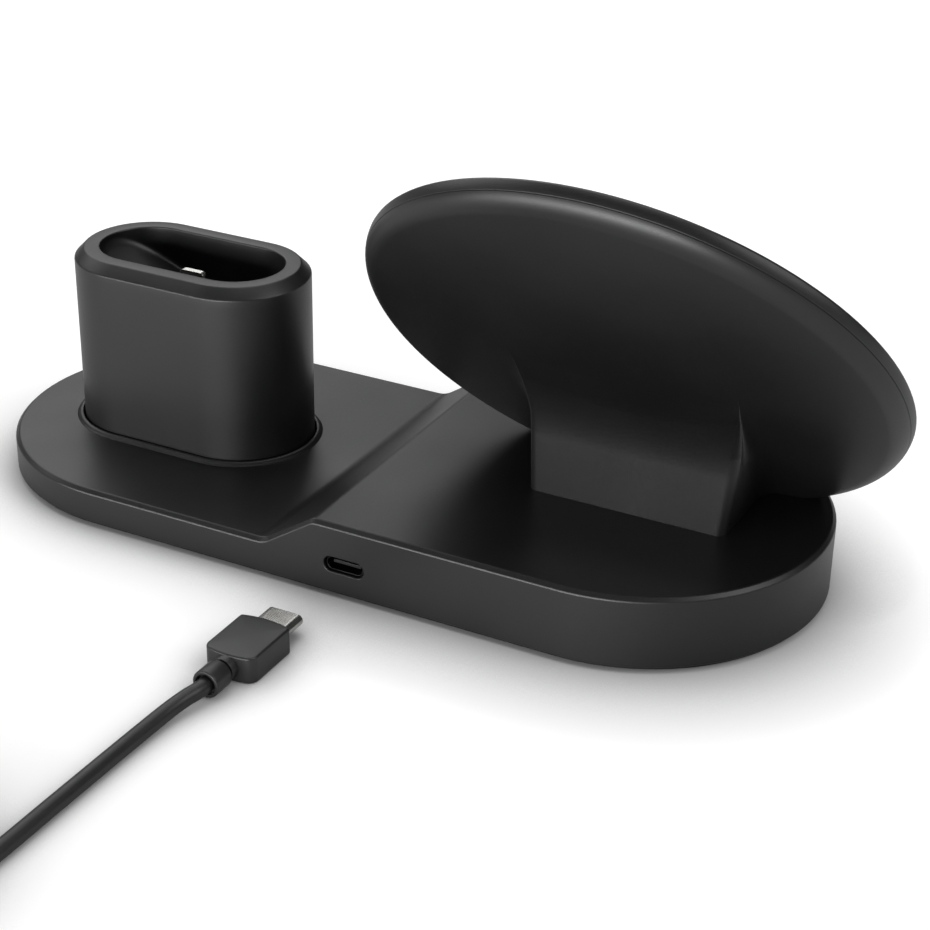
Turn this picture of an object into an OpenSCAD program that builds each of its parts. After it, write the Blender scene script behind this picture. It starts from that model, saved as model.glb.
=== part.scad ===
// Three-station wireless charger: a two-level base, a tilted phone pad on a
// moulded neck, an earbud dock with a watch puck on its front, and the
// unplugged supply cable. Millimetres, +Z up, the origin on the floor under
// the middle of the base. The user sits on the -Y side, the supply socket is
// on the +Y side, the dock is on the +X side.

/* [Base] */
// Length of the base, end to end
base_len = 196; // [185:1:215]
// Width of the base, and diameter of its round ends
base_wid = 83.4; // [80:0.2:92]
// Height of the low deck, which carries the dock
low_deck_z = 9.2; // [8.8:0.1:11]
// Height of the high deck, which carries the phone pad
high_deck_z = 17.3; // [16:0.1:20]
// Bevel along the top edge of both decks
deck_bevel = 0.9; // [0.4:0.1:1.4]
// Where the ramp meets the low deck
ramp_foot_x = 13.2; // [10:0.2:18]
// Where the ramp meets the high deck
ramp_head_x = -1.8; // [-5:0.2:2]
// Hollow radius at the foot of the ramp
ramp_foot_r = 6; // [2:0.5:7]
// Round radius at the head of the ramp
ramp_head_r = 3; // [1:0.5:5]
// Side wall of the base cover
cover_wall = 2.2; // [1.8:0.1:2.6]
// Deck wall of the base cover
deck_wall = 2; // [1.6:0.1:2.4]
// Thickness of the ribs under the decks
rib_thick = 1.4; // [1:0.1:2]

/* [Bottom plate and grip mat] */
// Gap between the floor and the bottom plate
plate_lift = 0.6; // [0.4:0.1:1]
// Height of the plate's edge that shows below the cover
plate_edge_h = 0.9; // [0.7:0.1:1.2]
// Thickness of the bottom plate
plate_thick = 1.8; // [1.6:0.1:2.2]
// How far the plate's edge stands in from the cover
plate_inset = 0.9; // [0.5:0.1:1.4]
// Distance of the soft mat's end from the end of the base
mat_inset = 20; // [18:1:30]
// Width of the soft mat
mat_wid = 48; // [40:1:50]
// Depth of the recess that the mat is glued in
mat_recess = 0.8; // [0.5:0.1:1]
// Distance of an end screw from the end of the base
end_screw_inset = 7.2; // [7:0.1:8]
// Distance of the side screws from the middle, along the base
side_screw_x = 22; // [18:1:24]
// Extra distance of the side screws under the high deck
side_screw_shift = 12; // [10:1:16]
// Distance of a side screw from the side of the base
side_screw_inset = 7.5; // [7:0.5:9]

/* [Supply socket] */
// Middle of the supply socket, along the base
port_x = -8.4; // [-12:0.2:-6]
// Middle of the supply socket above the floor
port_z = 7.9; // [7.4:0.1:8.6]
// Width of the slot in the cover
port_slot_w = 9.5; // [9.3:0.1:10]
// Height of the slot in the cover
port_slot_h = 3.5; // [3.4:0.1:4]
// How far the metal shell stands back from the cover's face
port_recess = 0.7; // [0.3:0.1:1.2]

/* [Main board] */
// Width of the main board
board_w = 32; // [30:1:36]
// Length of the main board
board_l = 70; // [66:1:72]
// Thickness of the circuit boards
board_thick = 1.6; // [1:0.1:2]
// Distance of the board's screws from its edges
board_screw_inset = 3.5; // [3:0.5:5]

/* [Phone pad] */
// Outer diameter of the pad
pad_d = 115.8; // [108:0.2:122]
// How far the pad's middle stands in from the middle of the base's round end
pad_shift = 0.1; // [0:0.1:2]
// Middle of the pad's face, across the base
pad_y = 6.6; // [4:0.2:9]
// Middle of the pad's face above the floor
pad_z = 55.5; // [52:0.2:60]
// Lean of the pad from upright, in degrees
pad_lean = 39.2; // [34:0.2:44]
// Depth of the pad from its face to the back of its dome
pad_depth = 10.2; // [9.4:0.1:12]
// Radius of the pad's back rim
pad_rim_r = 5; // [4.8:0.1:5.6]
// Round along the front edge of the pad
pad_edge_r = 0.8; // [0.5:0.1:1.2]
// Depth of the parting line behind the pad's face
pad_split = 2.8; // [2.4:0.1:3.2]
// Wall of the pad's two mouldings
pad_wall = 1.9; // [1.6:0.1:2.1]
// Inner radius of the soft ring on the pad's face
grip_ring_r = 30; // [28:0.5:44]
// Width of the soft ring
grip_ring_w = 3; // [2:0.5:5]
// How far the soft ring stands proud of the face
grip_proud = 0.4; // [0.2:0.1:0.6]

/* [Neck] */
// Width of the neck's foot
neck_wid = 44.6; // [40:0.1:48]
// Back face of the neck, across the base
neck_back_y = 7.5; // [6.5:0.1:9]
// Extra half width of the neck for each millimetre of height
neck_flare = 0.05; // [0:0.01:0.1]
// Radius of the neck's back corners
neck_corner_r = 2.4; // [1.6:0.2:4]
// Depth of the hollow where the neck's foot runs into the dome
neck_hollow_r = 7; // [3:0.5:8]
// Width that the hollow adds to each side of the neck
neck_hollow_w = 4.6; // [3:0.2:6]
// Height above the high deck where the neck's back starts to lean out
neck_upright = 13.2; // [10:0.2:16]
// Radius with which the neck's back leans out
neck_bend_r = 30; // [26:1:34]
// Wall of the neck
neck_wall = 2.4; // [2:0.1:3]
// Distance between the neck's screws, along the base
neck_screw_span = 29; // [26:0.5:30]

/* [Phone coil] */
// Outer diameter of the phone coil
coil_d = 50; // [44:1:52]
// Inner diameter of the phone coil
coil_bore = 20; // [16:1:24]
// Turns of litz wire in the coil
coil_turns = 12; // [8:1:14]
// Thickness of the coil
coil_thick = 1.6; // [1.2:0.1:1.8]
// Thickness of the ferrite sheet behind the coil
ferrite_thick = 0.8; // [0.6:0.1:1]
// Thickness of the plate that clamps the coil
retainer_thick = 1; // [0.9:0.1:1.2]

/* [Earbud dock] */
// Length of the dock
dock_len = 57.6; // [55:0.2:60]
// Width of the dock
dock_wid = 33.6; // [33:0.2:36]
// How far the dock's middle stands in from the middle of the base's round end
dock_shift = 1; // [0:0.1:2.4]
// Top of the dock above the floor
dock_top_z = 51; // [49:0.5:56]
// Bevel round the dock's top
dock_bevel = 2.3; // [1.5:0.1:2.4]
// Outer wall of the dock
dock_wall = 2.2; // [1.8:0.1:2.4]
// Length of the cup's mouth
cup_len = 45.8; // [45:0.1:47]
// Width of the cup's mouth
cup_wid = 21.8; // [21.6:0.1:22.4]
// Depth of the cup in its middle
cup_depth = 11.5; // [10:0.5:14]
// Depth of the upright wall at the ends of the cup
cup_end_depth = 2; // [1:0.5:4]
// Wall of the cup
cup_wall = 1.8; // [1.5:0.1:2]
// How deep the dock stands in the base cover
socket_depth = 4; // [3.5:0.1:4.4]
// Gap between the dock and its socket
socket_gap = 0.4; // [0.2:0.1:0.6]
// Thickness of the raised lip round the socket
lip_thick = 0.9; // [0.6:0.1:1.4]
// Height of the raised lip above the low deck
lip_h = 0.6; // [0.3:0.1:1]
// Length of the earbud plug's tab above the cup's floor
tab_len = 7.4; // [6:0.1:8]
// Width of the earbud plug's tab
tab_wid = 6.7; // [6:0.1:8]
// Thickness of the earbud plug's tab
tab_thick = 1.5; // [1.3:0.1:2]

/* [Watch puck] */
// Outer diameter of the puck's housing on the dock
puck_d = 31; // [29:0.5:33]
// Height of the puck's middle above the floor
puck_z = 29; // [28:0.5:30]
// How far the housing stands out of the dock
puck_out = 4.6; // [4:0.1:6]
// Wall of the puck's housing
puck_wall = 1.7; // [1.4:0.1:2]
// Thickness of the puck's face
puck_face_thick = 1.8; // [1.4:0.1:2.2]

/* [Supply cable] */
// Diameter of the supply cable
cord_d = 3.4; // [3:0.1:3.8]
// Width of the small plug's grip
grip_w = 11.6; // [11:0.1:12.4]
// Thickness of the small plug's grip
grip_h = 6.1; // [5.6:0.1:6.6]
// Length of the small plug's grip
grip_l = 15.2; // [14:0.2:18]
// Mean diameter of the cable's storage coil
hank_d = 40.8; // [34:0.2:41]
// Width of the large plug's grip
usba_w = 15.6; // [14.5:0.1:17]
// Thickness of the large plug's grip
usba_h = 8; // [7.4:0.1:9]
// Length of the large plug's grip
usba_l = 20; // [18:0.5:26]

/* [Fits] */
// Gap between mouldings that slide together
fit_gap = 0.15; // [0.1:0.05:0.25]
// Gap between a screw and its hole
screw_gap = 0.05; // [0.02:0.01:0.1]
// Diameter of the screws
screw_d = 2; // [1.7:0.1:2.2]
// Diameter of the screw heads
screw_head_d = 3.8; // [3.4:0.1:4]
// Height of the screw heads
screw_head_h = 1; // [0.8:0.1:1]

/* [Hidden] */
$fn = 64;
far = 300;
eps = 0.01;

body_black = "#2b2b2c";
inner_black = "#1f1f20";
rubber_grey = "#3a3a3a";
board_green = "#1d4a2c";
part_black = "#18181a";
steel = "#b8b9bb";
copper = "#b0643a";
ferrite_grey = "#4a4a4d";
tin = "#c9c9c6";

// Base cover and bottom plate
round_r = base_wid / 2;
round_x = base_len / 2 - round_r;
pad_x = pad_shift - round_x;
dock_x = round_x - dock_shift;
mat_len = base_len - 2 * mat_inset;
cover_z = plate_lift + plate_edge_h;
plate_top_z = plate_lift + plate_thick;
plate_r_gap = cover_wall + fit_gap;
ramp_steps = 6;
ramp_run = ramp_foot_x - ramp_head_x;
ramp_rise = high_deck_z - low_deck_z;
ramp_r = ramp_foot_r + ramp_head_r;
ramp_slope = atan2(ramp_rise - ramp_r, ramp_run)
    + asin(ramp_r / norm([ramp_run, ramp_rise - ramp_r]));
boss_r = screw_d / 2 + 1.4;
pilot_r = screw_d / 2 + screw_gap;
pass_r = screw_d / 2 + 0.2;
well_r = screw_head_d / 2 + 0.2;
plate_screws_at = [
    [round_x + round_r - end_screw_inset, 0], [-round_x - round_r + end_screw_inset, 0],
    for (x = [side_screw_x, -side_screw_x - side_screw_shift], s = [-1, 1])
        [x, s * (round_r - side_screw_inset)]
];
head_seat_z = plate_lift + screw_head_h + 0.1;
thread_spare = 0.6;
pilot_spare = 2;

// Supply socket and main board
socket_w = 8.94;
socket_h = 3.2;
socket_l = 7.4;
socket_wall = 0.3;
socket_y = round_r - port_recess;
board_top_z = port_z - socket_h / 2;
board_z = board_top_z - board_thick;
board_y = round_r - cover_wall - 0.6 - board_l / 2;
board_x = port_x - 5;
board_screw_l = board_thick + board_z - plate_lift - 1.3;
board_screws_at = [for (i = [-1, 1], j = [-1, 1])
    [board_x + i * (board_w / 2 - board_screw_inset), board_y + j * (board_l / 2 - board_screw_inset)]];

// Chips, inductors and capacitor cans on the main board
driver_w = 7;
chip_h = 0.9;
inductor_w = 6.8;
inductor_h = 2.8;
can_d = 6.3;
can_h = 5.4;

// Phone pad: its back is a crown arc that runs into a rim arc
pad_r = pad_d / 2;
rim_steps = 10;
crown_steps = 12;
crown_b = pad_depth - pad_edge_r;
crown_r = (pow(pad_r - pad_rim_r, 2) + pow(crown_b, 2) - pow(pad_rim_r, 2)) / (2 * (crown_b - pad_rim_r));
crown_a = atan2(pad_r - pad_rim_r, crown_r - crown_b);
pad_axis = [0, -cos(pad_lean), sin(pad_lean)];
crown_c = [pad_x, pad_y, pad_z] + (crown_r - pad_depth) * pad_axis;
split_a = asin((pad_split - pad_edge_r) / pad_rim_r);
lip_w = 1.2;
lip_deep = 0.7;
lip_r = pad_r - pad_rim_r + 0.5;
grip_deep = 0.4;

// Neck
neck_levels = 12;
channel_levels = 5;
neck_top_z = pad_z - 8;
neck_boss_h = 7;
neck_lead_w = 16;
neck_lead_h = 7;
neck_bend_z = high_deck_z + neck_upright;
neck_post_gap = 0.4;
neck_screw_pitch = 11;
neck_screws_y = neck_back_y - neck_wall - boss_r - neck_post_gap;
neck_screws_at = [for (i = [-1, 1], j = [0, 1])
    [pad_x + i * neck_screw_span / 2, neck_screws_y - j * neck_screw_pitch]];

// Phone coil stack, measured back from the pad's face
coil_seat = pad_wall;
ferrite_seat = coil_seat + coil_thick;
retainer_seat = ferrite_seat + ferrite_thick;
retainer_r = coil_d / 2 + boss_r + 0.7;
retainer_screws_at = [for (a = [90, 210, 330])
    [retainer_r * cos(a), retainer_r * sin(a)]];

// Dock
dock_z = low_deck_z - socket_depth;
cup_floor_z = dock_top_z - cup_depth;
cup_dish = cup_depth - cup_end_depth;
cup_floor_r = (pow(cup_len / 2, 2) + pow(cup_dish, 2)) / (2 * cup_dish);
socket_ledge = 3;
socket_ledge_h = 1.2;
socket_end_ledge = dock_wall + 2 * boss_r + 2.4;
dock_boss_h = 12;
dock_screws_at = [for (i = [-1, 1]) [dock_x + i * (dock_len / 2 - dock_wall - boss_r - 1.2), 0]];
holder_w = 11;
holder_t = 5;
flange_w = holder_w + 4;
flange_t = holder_t + 3.6;
web_sink = 0.4;
seat_z = cup_floor_z - cup_wall - 1;
board_seat_z = seat_z - 1.2;
dock_post_x = 11;
dock_board_w = 2 * dock_post_x + 6;
dock_board_t = 12;
tab_tip_r = 1.2;
contact_deep = 0.12;
contact_pitch = 0.62;
dock_board_grip = 2.6;

// Watch puck, on the dock's front face
puck_y = -dock_wid / 2;
puck_front_y = puck_y - puck_out;
puck_bore_r = puck_d / 2 - puck_wall;
puck_seat_y = puck_y - 0.2;
puck_ferrite_t = 0.9;
puck_coil_t = puck_out - puck_face_thick - puck_ferrite_t - 0.4;
puck_ferrite_y = puck_seat_y;
puck_face_y = puck_ferrite_y - puck_ferrite_t - puck_coil_t - puck_face_thick;
dish_r = 60;
lead_hole_d = 3;
lead_hole_drop = puck_bore_r - 4.8;

// Light pipe, and the soft strip between the pad's foot and the deck's edge
light_r = 1.5;
light_x = board_x;
light_z = board_top_z + light_r + 0.1;
lamp_y = board_y - board_l / 2 + 1.8;
ledge_len = 32;
ledge_w = 5;
ledge_deep = 0.6;
ledge_proud = 0.4;
pad_foot_y = pad_y + (high_deck_z - pad_z) * tan(pad_lean);
ledge_y = (pad_foot_y - round_r + deck_bevel) / 2;

// Supply cable, as it lies unplugged behind the base
plug_y = 63.6;
plug_x = -3.8;
plug_z = grip_h / 2;
shell_w = 8.3;
shell_h = 2.5;
shell_l = 6.6;
relief_l = 7.4;
relief_r = 2.6;
run_y = plug_y + grip_l + relief_l;
run_path = [
    [plug_x, run_y, plug_z], [plug_x, run_y + 1.2, plug_z], [-3.5, 89, 2.97],
    [-2.9, 90.8, 2.78], [-2.4, 92.8, 2.53], [-1.95, 95.3, 2.28], [-1.6, 98.3, 2.05],
    [-1.35, 102, 1.88], [-1.15, 106, 1.76], [-1, 111, 1.7], [-0.9, 117, 1.7], [-0.8, 124, 1.7],
    [-0.7, 131, 1.7], [-0.64, 138, 1.7], [-0.55, 144, 1.7], [-0.3, 150, 1.7], [0.1, 156.5, 1.7],
    [0.4, 162, 1.7]
];
tail_path = [
    [24.2, 186.8, 8.5], [30, 186.8, 8.4], [36, 186.2, 7.2], [42.5, 184.4, 4.8], [48.5, 181.1, 2.7],
    [53.5, 176.4, 1.8], [56.6, 171, 1.8], [58, 165, 2.6], [58, 160, 3.6], [58, 156, 4], [58, 153, 4]
];
coil_centre = [24.2, 163, 0];
hank_w = 3 * cord_d;
hank_h = 3 * cord_d;
hank_edge = 1.2;
grip_bow = 0.9;
grip_sink = 1.5;
usba_at = [58, 153, 0];
usba_turn = -90;
usba_relief_l = 8;
usba_shell_w = 12;
usba_shell_h = 4.5;
usba_shell_l = 12;

// 2D outlines

module obround(len, wid) {
    square([len - wid, wid], center = true);
    for (s = [-1, 1]) translate([s * (len - wid) / 2, 0]) circle(d = wid);
}

// Upright solid with round ends and a bevel along its top
module obround_solid(len, wid, z0, z1, bevel = 0) {
    r = wid / 2;
    half = (len - wid) / 2;
    for (s = [0, 180]) rotate([0, 0, s]) translate([half, 0, 0]) half_round(r, z0, z1, bevel);
    rotate([90, 0, 90]) linear_extrude(height = 2 * half, center = true)
        polygon([[-r, z0], [r, z0], [r, z1 - bevel], [r - bevel, z1], [bevel - r, z1], [-r, z1 - bevel]]);
}

// Half of a round solid, on the +X side of its axis
module half_round(r, z0, z1, bevel = 0) {
    rotate([0, 0, -90]) rotate_extrude(angle = 180)
        polygon([[0, z0], [r, z0], [r, z1 - bevel], [r - bevel, z1], [0, z1]]);
}

// Base

// Top line of the decks seen from the front, from the low deck to the high one
function ramp_line(drop) = concat(
    [for (i = [0:ramp_steps]) let (a = ramp_slope * i / ramp_steps)
        [ramp_foot_x - ramp_foot_r * sin(a), low_deck_z + ramp_foot_r * (1 - cos(a)) - drop]],
    [for (i = [ramp_steps:-1:0]) let (a = ramp_slope * i / ramp_steps)
        [ramp_head_x + ramp_head_r * sin(a), high_deck_z - ramp_head_r * (1 - cos(a)) - drop]]
);
function deck_line(drop) = concat(
    [[round_x, low_deck_z - drop]], ramp_line(drop), [[-round_x, high_deck_z - drop]]
);

// The straight middle of the base
module deck_middle(r, drop, z0, bevel) {
    difference() {
        rotate([90, 0, 0]) linear_extrude(height = 2 * r, center = true)
            polygon(concat([[round_x, z0]], deck_line(drop), [[-round_x, z0]]));
        if (bevel > 0) for (m = [0, 1]) mirror([0, m, 0])
            loft([for (p = backwards(deck_line(drop))) edge_ring(p, r, bevel)]);
    }
}
// What a 45 degree bevel takes off the edge at a point of the deck's line
function edge_ring(p, r, bevel) = [
    [p[0], r - bevel, p[1]], [p[0], r, p[1] - bevel], [p[0], r + 1, p[1] - bevel],
    [p[0], r + 1, p[1] + 1], [p[0], r - bevel, p[1] + 1]
];

// Closed solid through rings of points. Seen from the last ring, each ring's
// points go round anticlockwise
module loft(rings) {
    n = len(rings[0]);
    m = len(rings);
    polyhedron(
        points = [for (r = rings) each r],
        faces = concat(
            [[for (i = [0:n - 1]) i]],
            [[for (i = [n - 1:-1:0]) (m - 1) * n + i]],
            [for (j = [0:m - 2], i = [0:n - 1]) let (k = (i + 1) % n)
                [j * n + i, (j + 1) * n + i, (j + 1) * n + k, j * n + k]]
        )
    );
}
function backwards(list) = [for (i = [len(list) - 1:-1:0]) list[i]];

// The base's whole form, set in from its outside by some distance
module deck_solid(inset, drop, z0, bevel = 0) {
    r = round_r - inset;
    translate([round_x, 0, 0]) half_round(r, z0, low_deck_z - drop, bevel);
    translate([-round_x, 0, 0]) rotate([0, 0, 180]) half_round(r, z0, high_deck_z - drop, bevel);
    deck_middle(r, drop, z0, bevel);
}

module at_dock() {
    translate([dock_x, 0, 0]) children();
}

module base_cover() {
    color(body_black) difference() {
        union() {
            difference() {
                deck_solid(0, 0, cover_z, deck_bevel);
                deck_solid(cover_wall, deck_wall, cover_z - 1);
            }
            cover_lip();
            dock_socket();
            cover_bosses();
            cover_ribs();
        }
        socket_cut();
        port_cut();
        cover_holes();
    }
}

// Raised lip round the dock's foot, with its outside sloped to the deck
module cover_lip() {
    gap = 2 * (socket_gap + lip_thick);
    at_dock() obround_solid(dock_len + gap, dock_wid + gap, low_deck_z - deck_wall,
        low_deck_z + lip_h, lip_h / 2);
}

// Sleeve and ledge that the dock stands in, under the low deck
module dock_socket() {
    gap = 2 * (socket_gap + cover_wall);
    at_dock() obround_solid(dock_len + gap, dock_wid + gap,
        dock_z - socket_ledge_h, low_deck_z - deck_wall + eps);
}

module socket_cut() {
    at_dock() {
        obround_solid(dock_len + 2 * socket_gap, dock_wid + 2 * socket_gap, dock_z, low_deck_z + 5);
        obround_solid(dock_len - 2 * socket_end_ledge, dock_wid - 2 * socket_ledge, 0, dock_z + 1);
    }
}

// Boss for each screw of the bottom plate, up to the deck above it
module cover_bosses() {
    for (p = plate_screws_at) translate([p[0], p[1], plate_top_z + fit_gap])
        cylinder(r = boss_r, h = deck_under(p[0]) - plate_top_z);
}
function deck_under(x) = (x > 0 ? low_deck_z : high_deck_z) - deck_wall;

// Stiffening ribs under the high deck, either side of the neck's screws
module cover_ribs() {
    rib_h = 4;
    for (s = [-1, 1]) translate([pad_x + s * (neck_wid / 2 - 1), 0, high_deck_z - deck_wall - rib_h / 2])
        cube([rib_thick, 2 * round_r - 2 * cover_wall - 16, rib_h + 2 * eps], center = true);
    for (s = [-1, 1]) translate([pad_x, s * 20, high_deck_z - deck_wall - rib_h / 2])
        cube([neck_wid + 8, rib_thick, rib_h + 2 * eps], center = true);
}

// Slot for the supply socket
module port_cut() {
    translate([port_x, round_r, port_z]) rotate([90, 0, 0])
        linear_extrude(height = 2 * cover_wall + 1, center = true) obround(port_slot_w, port_slot_h);
}

module cover_holes() {
    for (p = plate_screws_at) translate([p[0], p[1], plate_top_z])
        cylinder(r = pilot_r, h = deck_under(p[0]) - plate_top_z - thread_spare);
    for (p = neck_screws_at) translate([p[0], p[1], high_deck_z - deck_wall - 1])
        cylinder(r = pass_r, h = deck_wall + 2);
    translate([pad_x, neck_screws_y - neck_screw_pitch / 2, high_deck_z - deck_wall - 1])
        linear_extrude(height = deck_wall + 2) obround(neck_lead_w, neck_lead_h);
    for (p = dock_screws_at) translate([p[0], p[1], 0]) cylinder(r = pass_r, h = low_deck_z);
    translate([light_x, -round_r, light_z]) rotate([90, 0, 0])
        cylinder(r = light_r + fit_gap, h = 3 * cover_wall, center = true);
    ledge_form(fit_gap, high_deck_z - ledge_deep);
}

module ledge_form(gap, z0) {
    translate([pad_x, ledge_y, z0]) linear_extrude(height = ledge_deep + ledge_proud)
        obround(ledge_len + 2 * gap, ledge_w + 2 * gap);
}

module ledge_strip() {
    color(rubber_grey) ledge_form(0, high_deck_z - ledge_deep);
}

// The plate has an edge that shows under the cover's wall, and a step that
// stands inside it; posts on it carry the main board
module base_plate() {
    color(body_black) difference() {
        union() {
            obround_solid(base_len - 2 * plate_inset, base_wid - 2 * plate_inset, plate_lift, cover_z);
            obround_solid(base_len - 2 * plate_r_gap, base_wid - 2 * plate_r_gap,
                plate_lift + 0.2, plate_top_z);
            for (p = board_screws_at) translate([p[0], p[1], plate_top_z - 0.2])
                cylinder(r = boss_r, h = board_z - plate_top_z + 0.2);
        }
        obround_solid(mat_len + 2 * fit_gap, mat_wid + 2 * fit_gap, 0, plate_lift + mat_recess);
        for (p = plate_screws_at) translate([p[0], p[1], 0]) {
            cylinder(r = pass_r, h = 2 * plate_top_z);
            cylinder(r = well_r, h = head_seat_z);
        }
        for (p = board_screws_at) translate([p[0], p[1], plate_lift + 1])
            cylinder(r = pilot_r, h = board_z);
    }
}

module grip_mat() {
    color(rubber_grey) obround_solid(mat_len, mat_wid, 0, plate_lift + mat_recess);
}

// Cross-head screw that points up, with its head's underside at the origin
module screw(len) {
    color(steel) difference() {
        union() {
            translate([0, 0, -screw_head_h]) cylinder(d = screw_head_d, h = screw_head_h);
            translate([0, 0, -0.1]) cylinder(d = screw_d, h = len + 0.1);
        }
        for (a = [0, 90]) rotate([0, 0, a]) translate([0, 0, -screw_head_h])
            cube([screw_head_d * 0.6, 0.5, screw_head_h], center = true);
    }
}

module plate_screws() {
    for (p = plate_screws_at) translate([p[0], p[1], head_seat_z])
        screw(deck_under(p[0]) - head_seat_z - 2 * thread_spare);
}

// Main board and what stands on it

module main_board() {
    color(board_green) difference() {
        translate([board_x, board_y, board_z + board_thick / 2])
            cube([board_w, board_l, board_thick], center = true);
        for (p = board_screws_at) translate([p[0], p[1], board_z - 1])
            cylinder(r = pass_r, h = board_thick + 2);
    }
}

module board_screws() {
    for (p = board_screws_at) translate([p[0], p[1], board_top_z]) rotate([180, 0, 0])
        screw(board_screw_l);
}

// Block on the board, placed by shares of the board's width and length
module board_block(share, size) {
    on_board(share) translate([0, 0, size[2] / 2]) cube(size, center = true);
}
module on_board(share) {
    translate([board_x + share[0] * board_w, board_y + share[1] * board_l, board_top_z]) children();
}

// Driver and controller chips, and the status lamp behind the light pipe
module board_chips() {
    color(part_black) {
        board_block([-0.22, 0.114], [driver_w, driver_w, chip_h]);
        board_block([0.19, 0.171], [0.7 * driver_w, 0.7 * driver_w, chip_h]);
        for (share = [[-0.25, -0.2], [0.16, -0.257]])
            board_block(share, [0.6 * driver_w, 0.6 * driver_w, chip_h]);
        board_block([0, (lamp_y - board_y) / board_l], [2 * light_r, 1.4, 2 * light_r - 0.4]);
    }
}

module board_inductors() {
    color(ferrite_grey) for (share = [[0.25, 0.029], [-0.25, -0.057], [0.25, -0.114]])
        board_block(share, [inductor_w, inductor_w, inductor_h]);
}

module board_capacitors() {
    color(tin) {
        for (share = [0.314, -0.343]) on_board([-0.22, share]) cylinder(d = can_d, h = can_h);
        for (share = [[0.22, -0.357], [0.28, 0.3]]) board_block(share, [can_d, 0.65 * can_d, can_h - 0.4]);
    }
}

// Metal shell of the supply socket, flush in the slot and open at both ends
module socket_shell() {
    color(steel) translate([port_x, socket_y - socket_l, port_z]) rotate([-90, 0, 0])
        linear_extrude(height = socket_l) difference() {
            obround(socket_w, socket_h);
            obround(socket_w - 2 * socket_wall, socket_h - 2 * socket_wall);
        }
}

// Plastic block at the back of the socket, with the tongue that the plug meets
module socket_tongue() {
    color(part_black) translate([port_x, socket_y - socket_l, port_z]) rotate([-90, 0, 0]) {
        linear_extrude(height = 2.4) obround(socket_w - 2 * socket_wall, socket_h - 2 * socket_wall);
        translate([-3.3, -0.35, 2]) cube([6.6, 0.7, 4.4]);
    }
}

module light_pipe() {
    color(tin) translate([light_x, -round_r, light_z]) rotate([-90, 0, 0])
        cylinder(r = light_r, h = lamp_y - 1 + round_r);
}

// Phone pad, worked out with its face up at the origin and then tilted

module at_pad() {
    translate([pad_x, pad_y, pad_z]) rotate([90 - pad_lean, 0, 0]) children();
}

// Back of the pad, from the rim to the middle, set in by w
function rim_arc(w, from) = [for (i = [0:rim_steps]) let (a = from + (90 - crown_a - from) * i / rim_steps)
    [pad_r - pad_rim_r + (pad_rim_r - w) * cos(a), -pad_edge_r - (pad_rim_r - w) * sin(a)]];
function crown_arc(w) = [for (i = [1:crown_steps]) let (a = crown_a * (1 - i / crown_steps))
    [(crown_r - w) * sin(a), crown_r - pad_depth - (crown_r - w) * cos(a)]];
function pad_back(w, from) = concat(rim_arc(w, from), crown_arc(w));
split_in_a = asin((pad_split - pad_edge_r) / (pad_rim_r - pad_wall));

// The dome without its hollow, and the hollow, which opens at the front
module dome() {
    rotate_extrude($fn = 128) polygon(concat([[0, -pad_split]], pad_back(0, split_a)));
}
module dome_hollow() {
    back = pad_back(pad_wall, split_in_a);
    rotate_extrude($fn = 128) polygon(concat([[0, 0], [back[0][0], 0]], back));
}

// Y of the dome's back where the neck meets it, at any x and z
function dome_y(x, z) = crown_c[1]
    + sqrt(pow(crown_r, 2) - pow(x - crown_c[0], 2) - pow(z - crown_c[2], 2));
// Y of the neck's back: upright, then an arc, then straight on into the dome
neck_turn = pad_lean - 5;
function neck_back(z) = let (
        up = max(0, z - neck_bend_z),
        a = min(neck_turn, asin(min(1, up / neck_bend_r))),
        rest = up - neck_bend_r * sin(a)
    ) neck_back_y + neck_bend_r * (1 - cos(a)) + rest * tan(a);
function neck_half(z) = neck_wid / 2 + neck_flare * (z - high_deck_z);

// One side of the neck's outline at height z, from the dome to the back: a
// hollow round off the dome, the flat side, and the round back corner
hollow_steps = 6;
hollow_sink = 0.15;
corner_steps = 5;
function neck_side(z) = let (
        w = neck_half(z),
        yb = neck_back(z),
        deep = max(0.5, yb - dome_y(pad_x + w, z)),
        hx = neck_hollow_w,
        hy = min(neck_hollow_r, 0.6 * deep),
        rc = min(neck_corner_r, 0.35 * deep)
    ) concat(
        [[w + 0.95 * hx, dome_y(pad_x + w + 0.95 * hx, z) - 1]],
        [for (i = [0:hollow_steps]) let (a = 262 - 82 * i / hollow_steps, x = w + hx * (1 + cos(a)))
            [x, dome_y(pad_x + x, z) + hy * (1 + sin(a)) - hollow_sink]],
        [for (i = [0:corner_steps]) let (a = 90 * i / corner_steps)
            [w - rc * (1 - cos(a)), yb - rc * (1 - sin(a))]]
    );
function neck_ring(z, sink = 0) = let (side = neck_side(z)) concat(
    [for (p = side) [pad_x + p[0], p[1] - sink, z]],
    [for (p = backwards(side)) [pad_x - p[0], p[1] - sink, z]]
);
// The inside is a plain tapered channel that opens into the pad
function channel_ring(z) = let (
        w = neck_half(z) - neck_wall,
        yb = neck_back(z) - neck_wall,
        yf = min(dome_y(pad_x + w, z) - 2 * pad_wall - 1, yb - 2)
    ) [[pad_x + w, yf, z], [pad_x + w, yb - 1.6, z], [pad_x + w - 1.6, yb, z],
       [pad_x - w + 1.6, yb, z], [pad_x - w, yb - 1.6, z], [pad_x - w, yf, z]];

// It starts below the deck, where it is cut off, and its last ring lies in
// the dome's wall, so that the neck fades into the dome
module neck_outer() {
    rise = (neck_top_z - high_deck_z) / neck_levels;
    loft(concat(
        [neck_ring(high_deck_z - 1)],
        [for (j = [1:neck_levels]) neck_ring(high_deck_z + j * rise)],
        [neck_ring(neck_top_z + 2, pad_wall / 2)]
    ));
}

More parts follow.
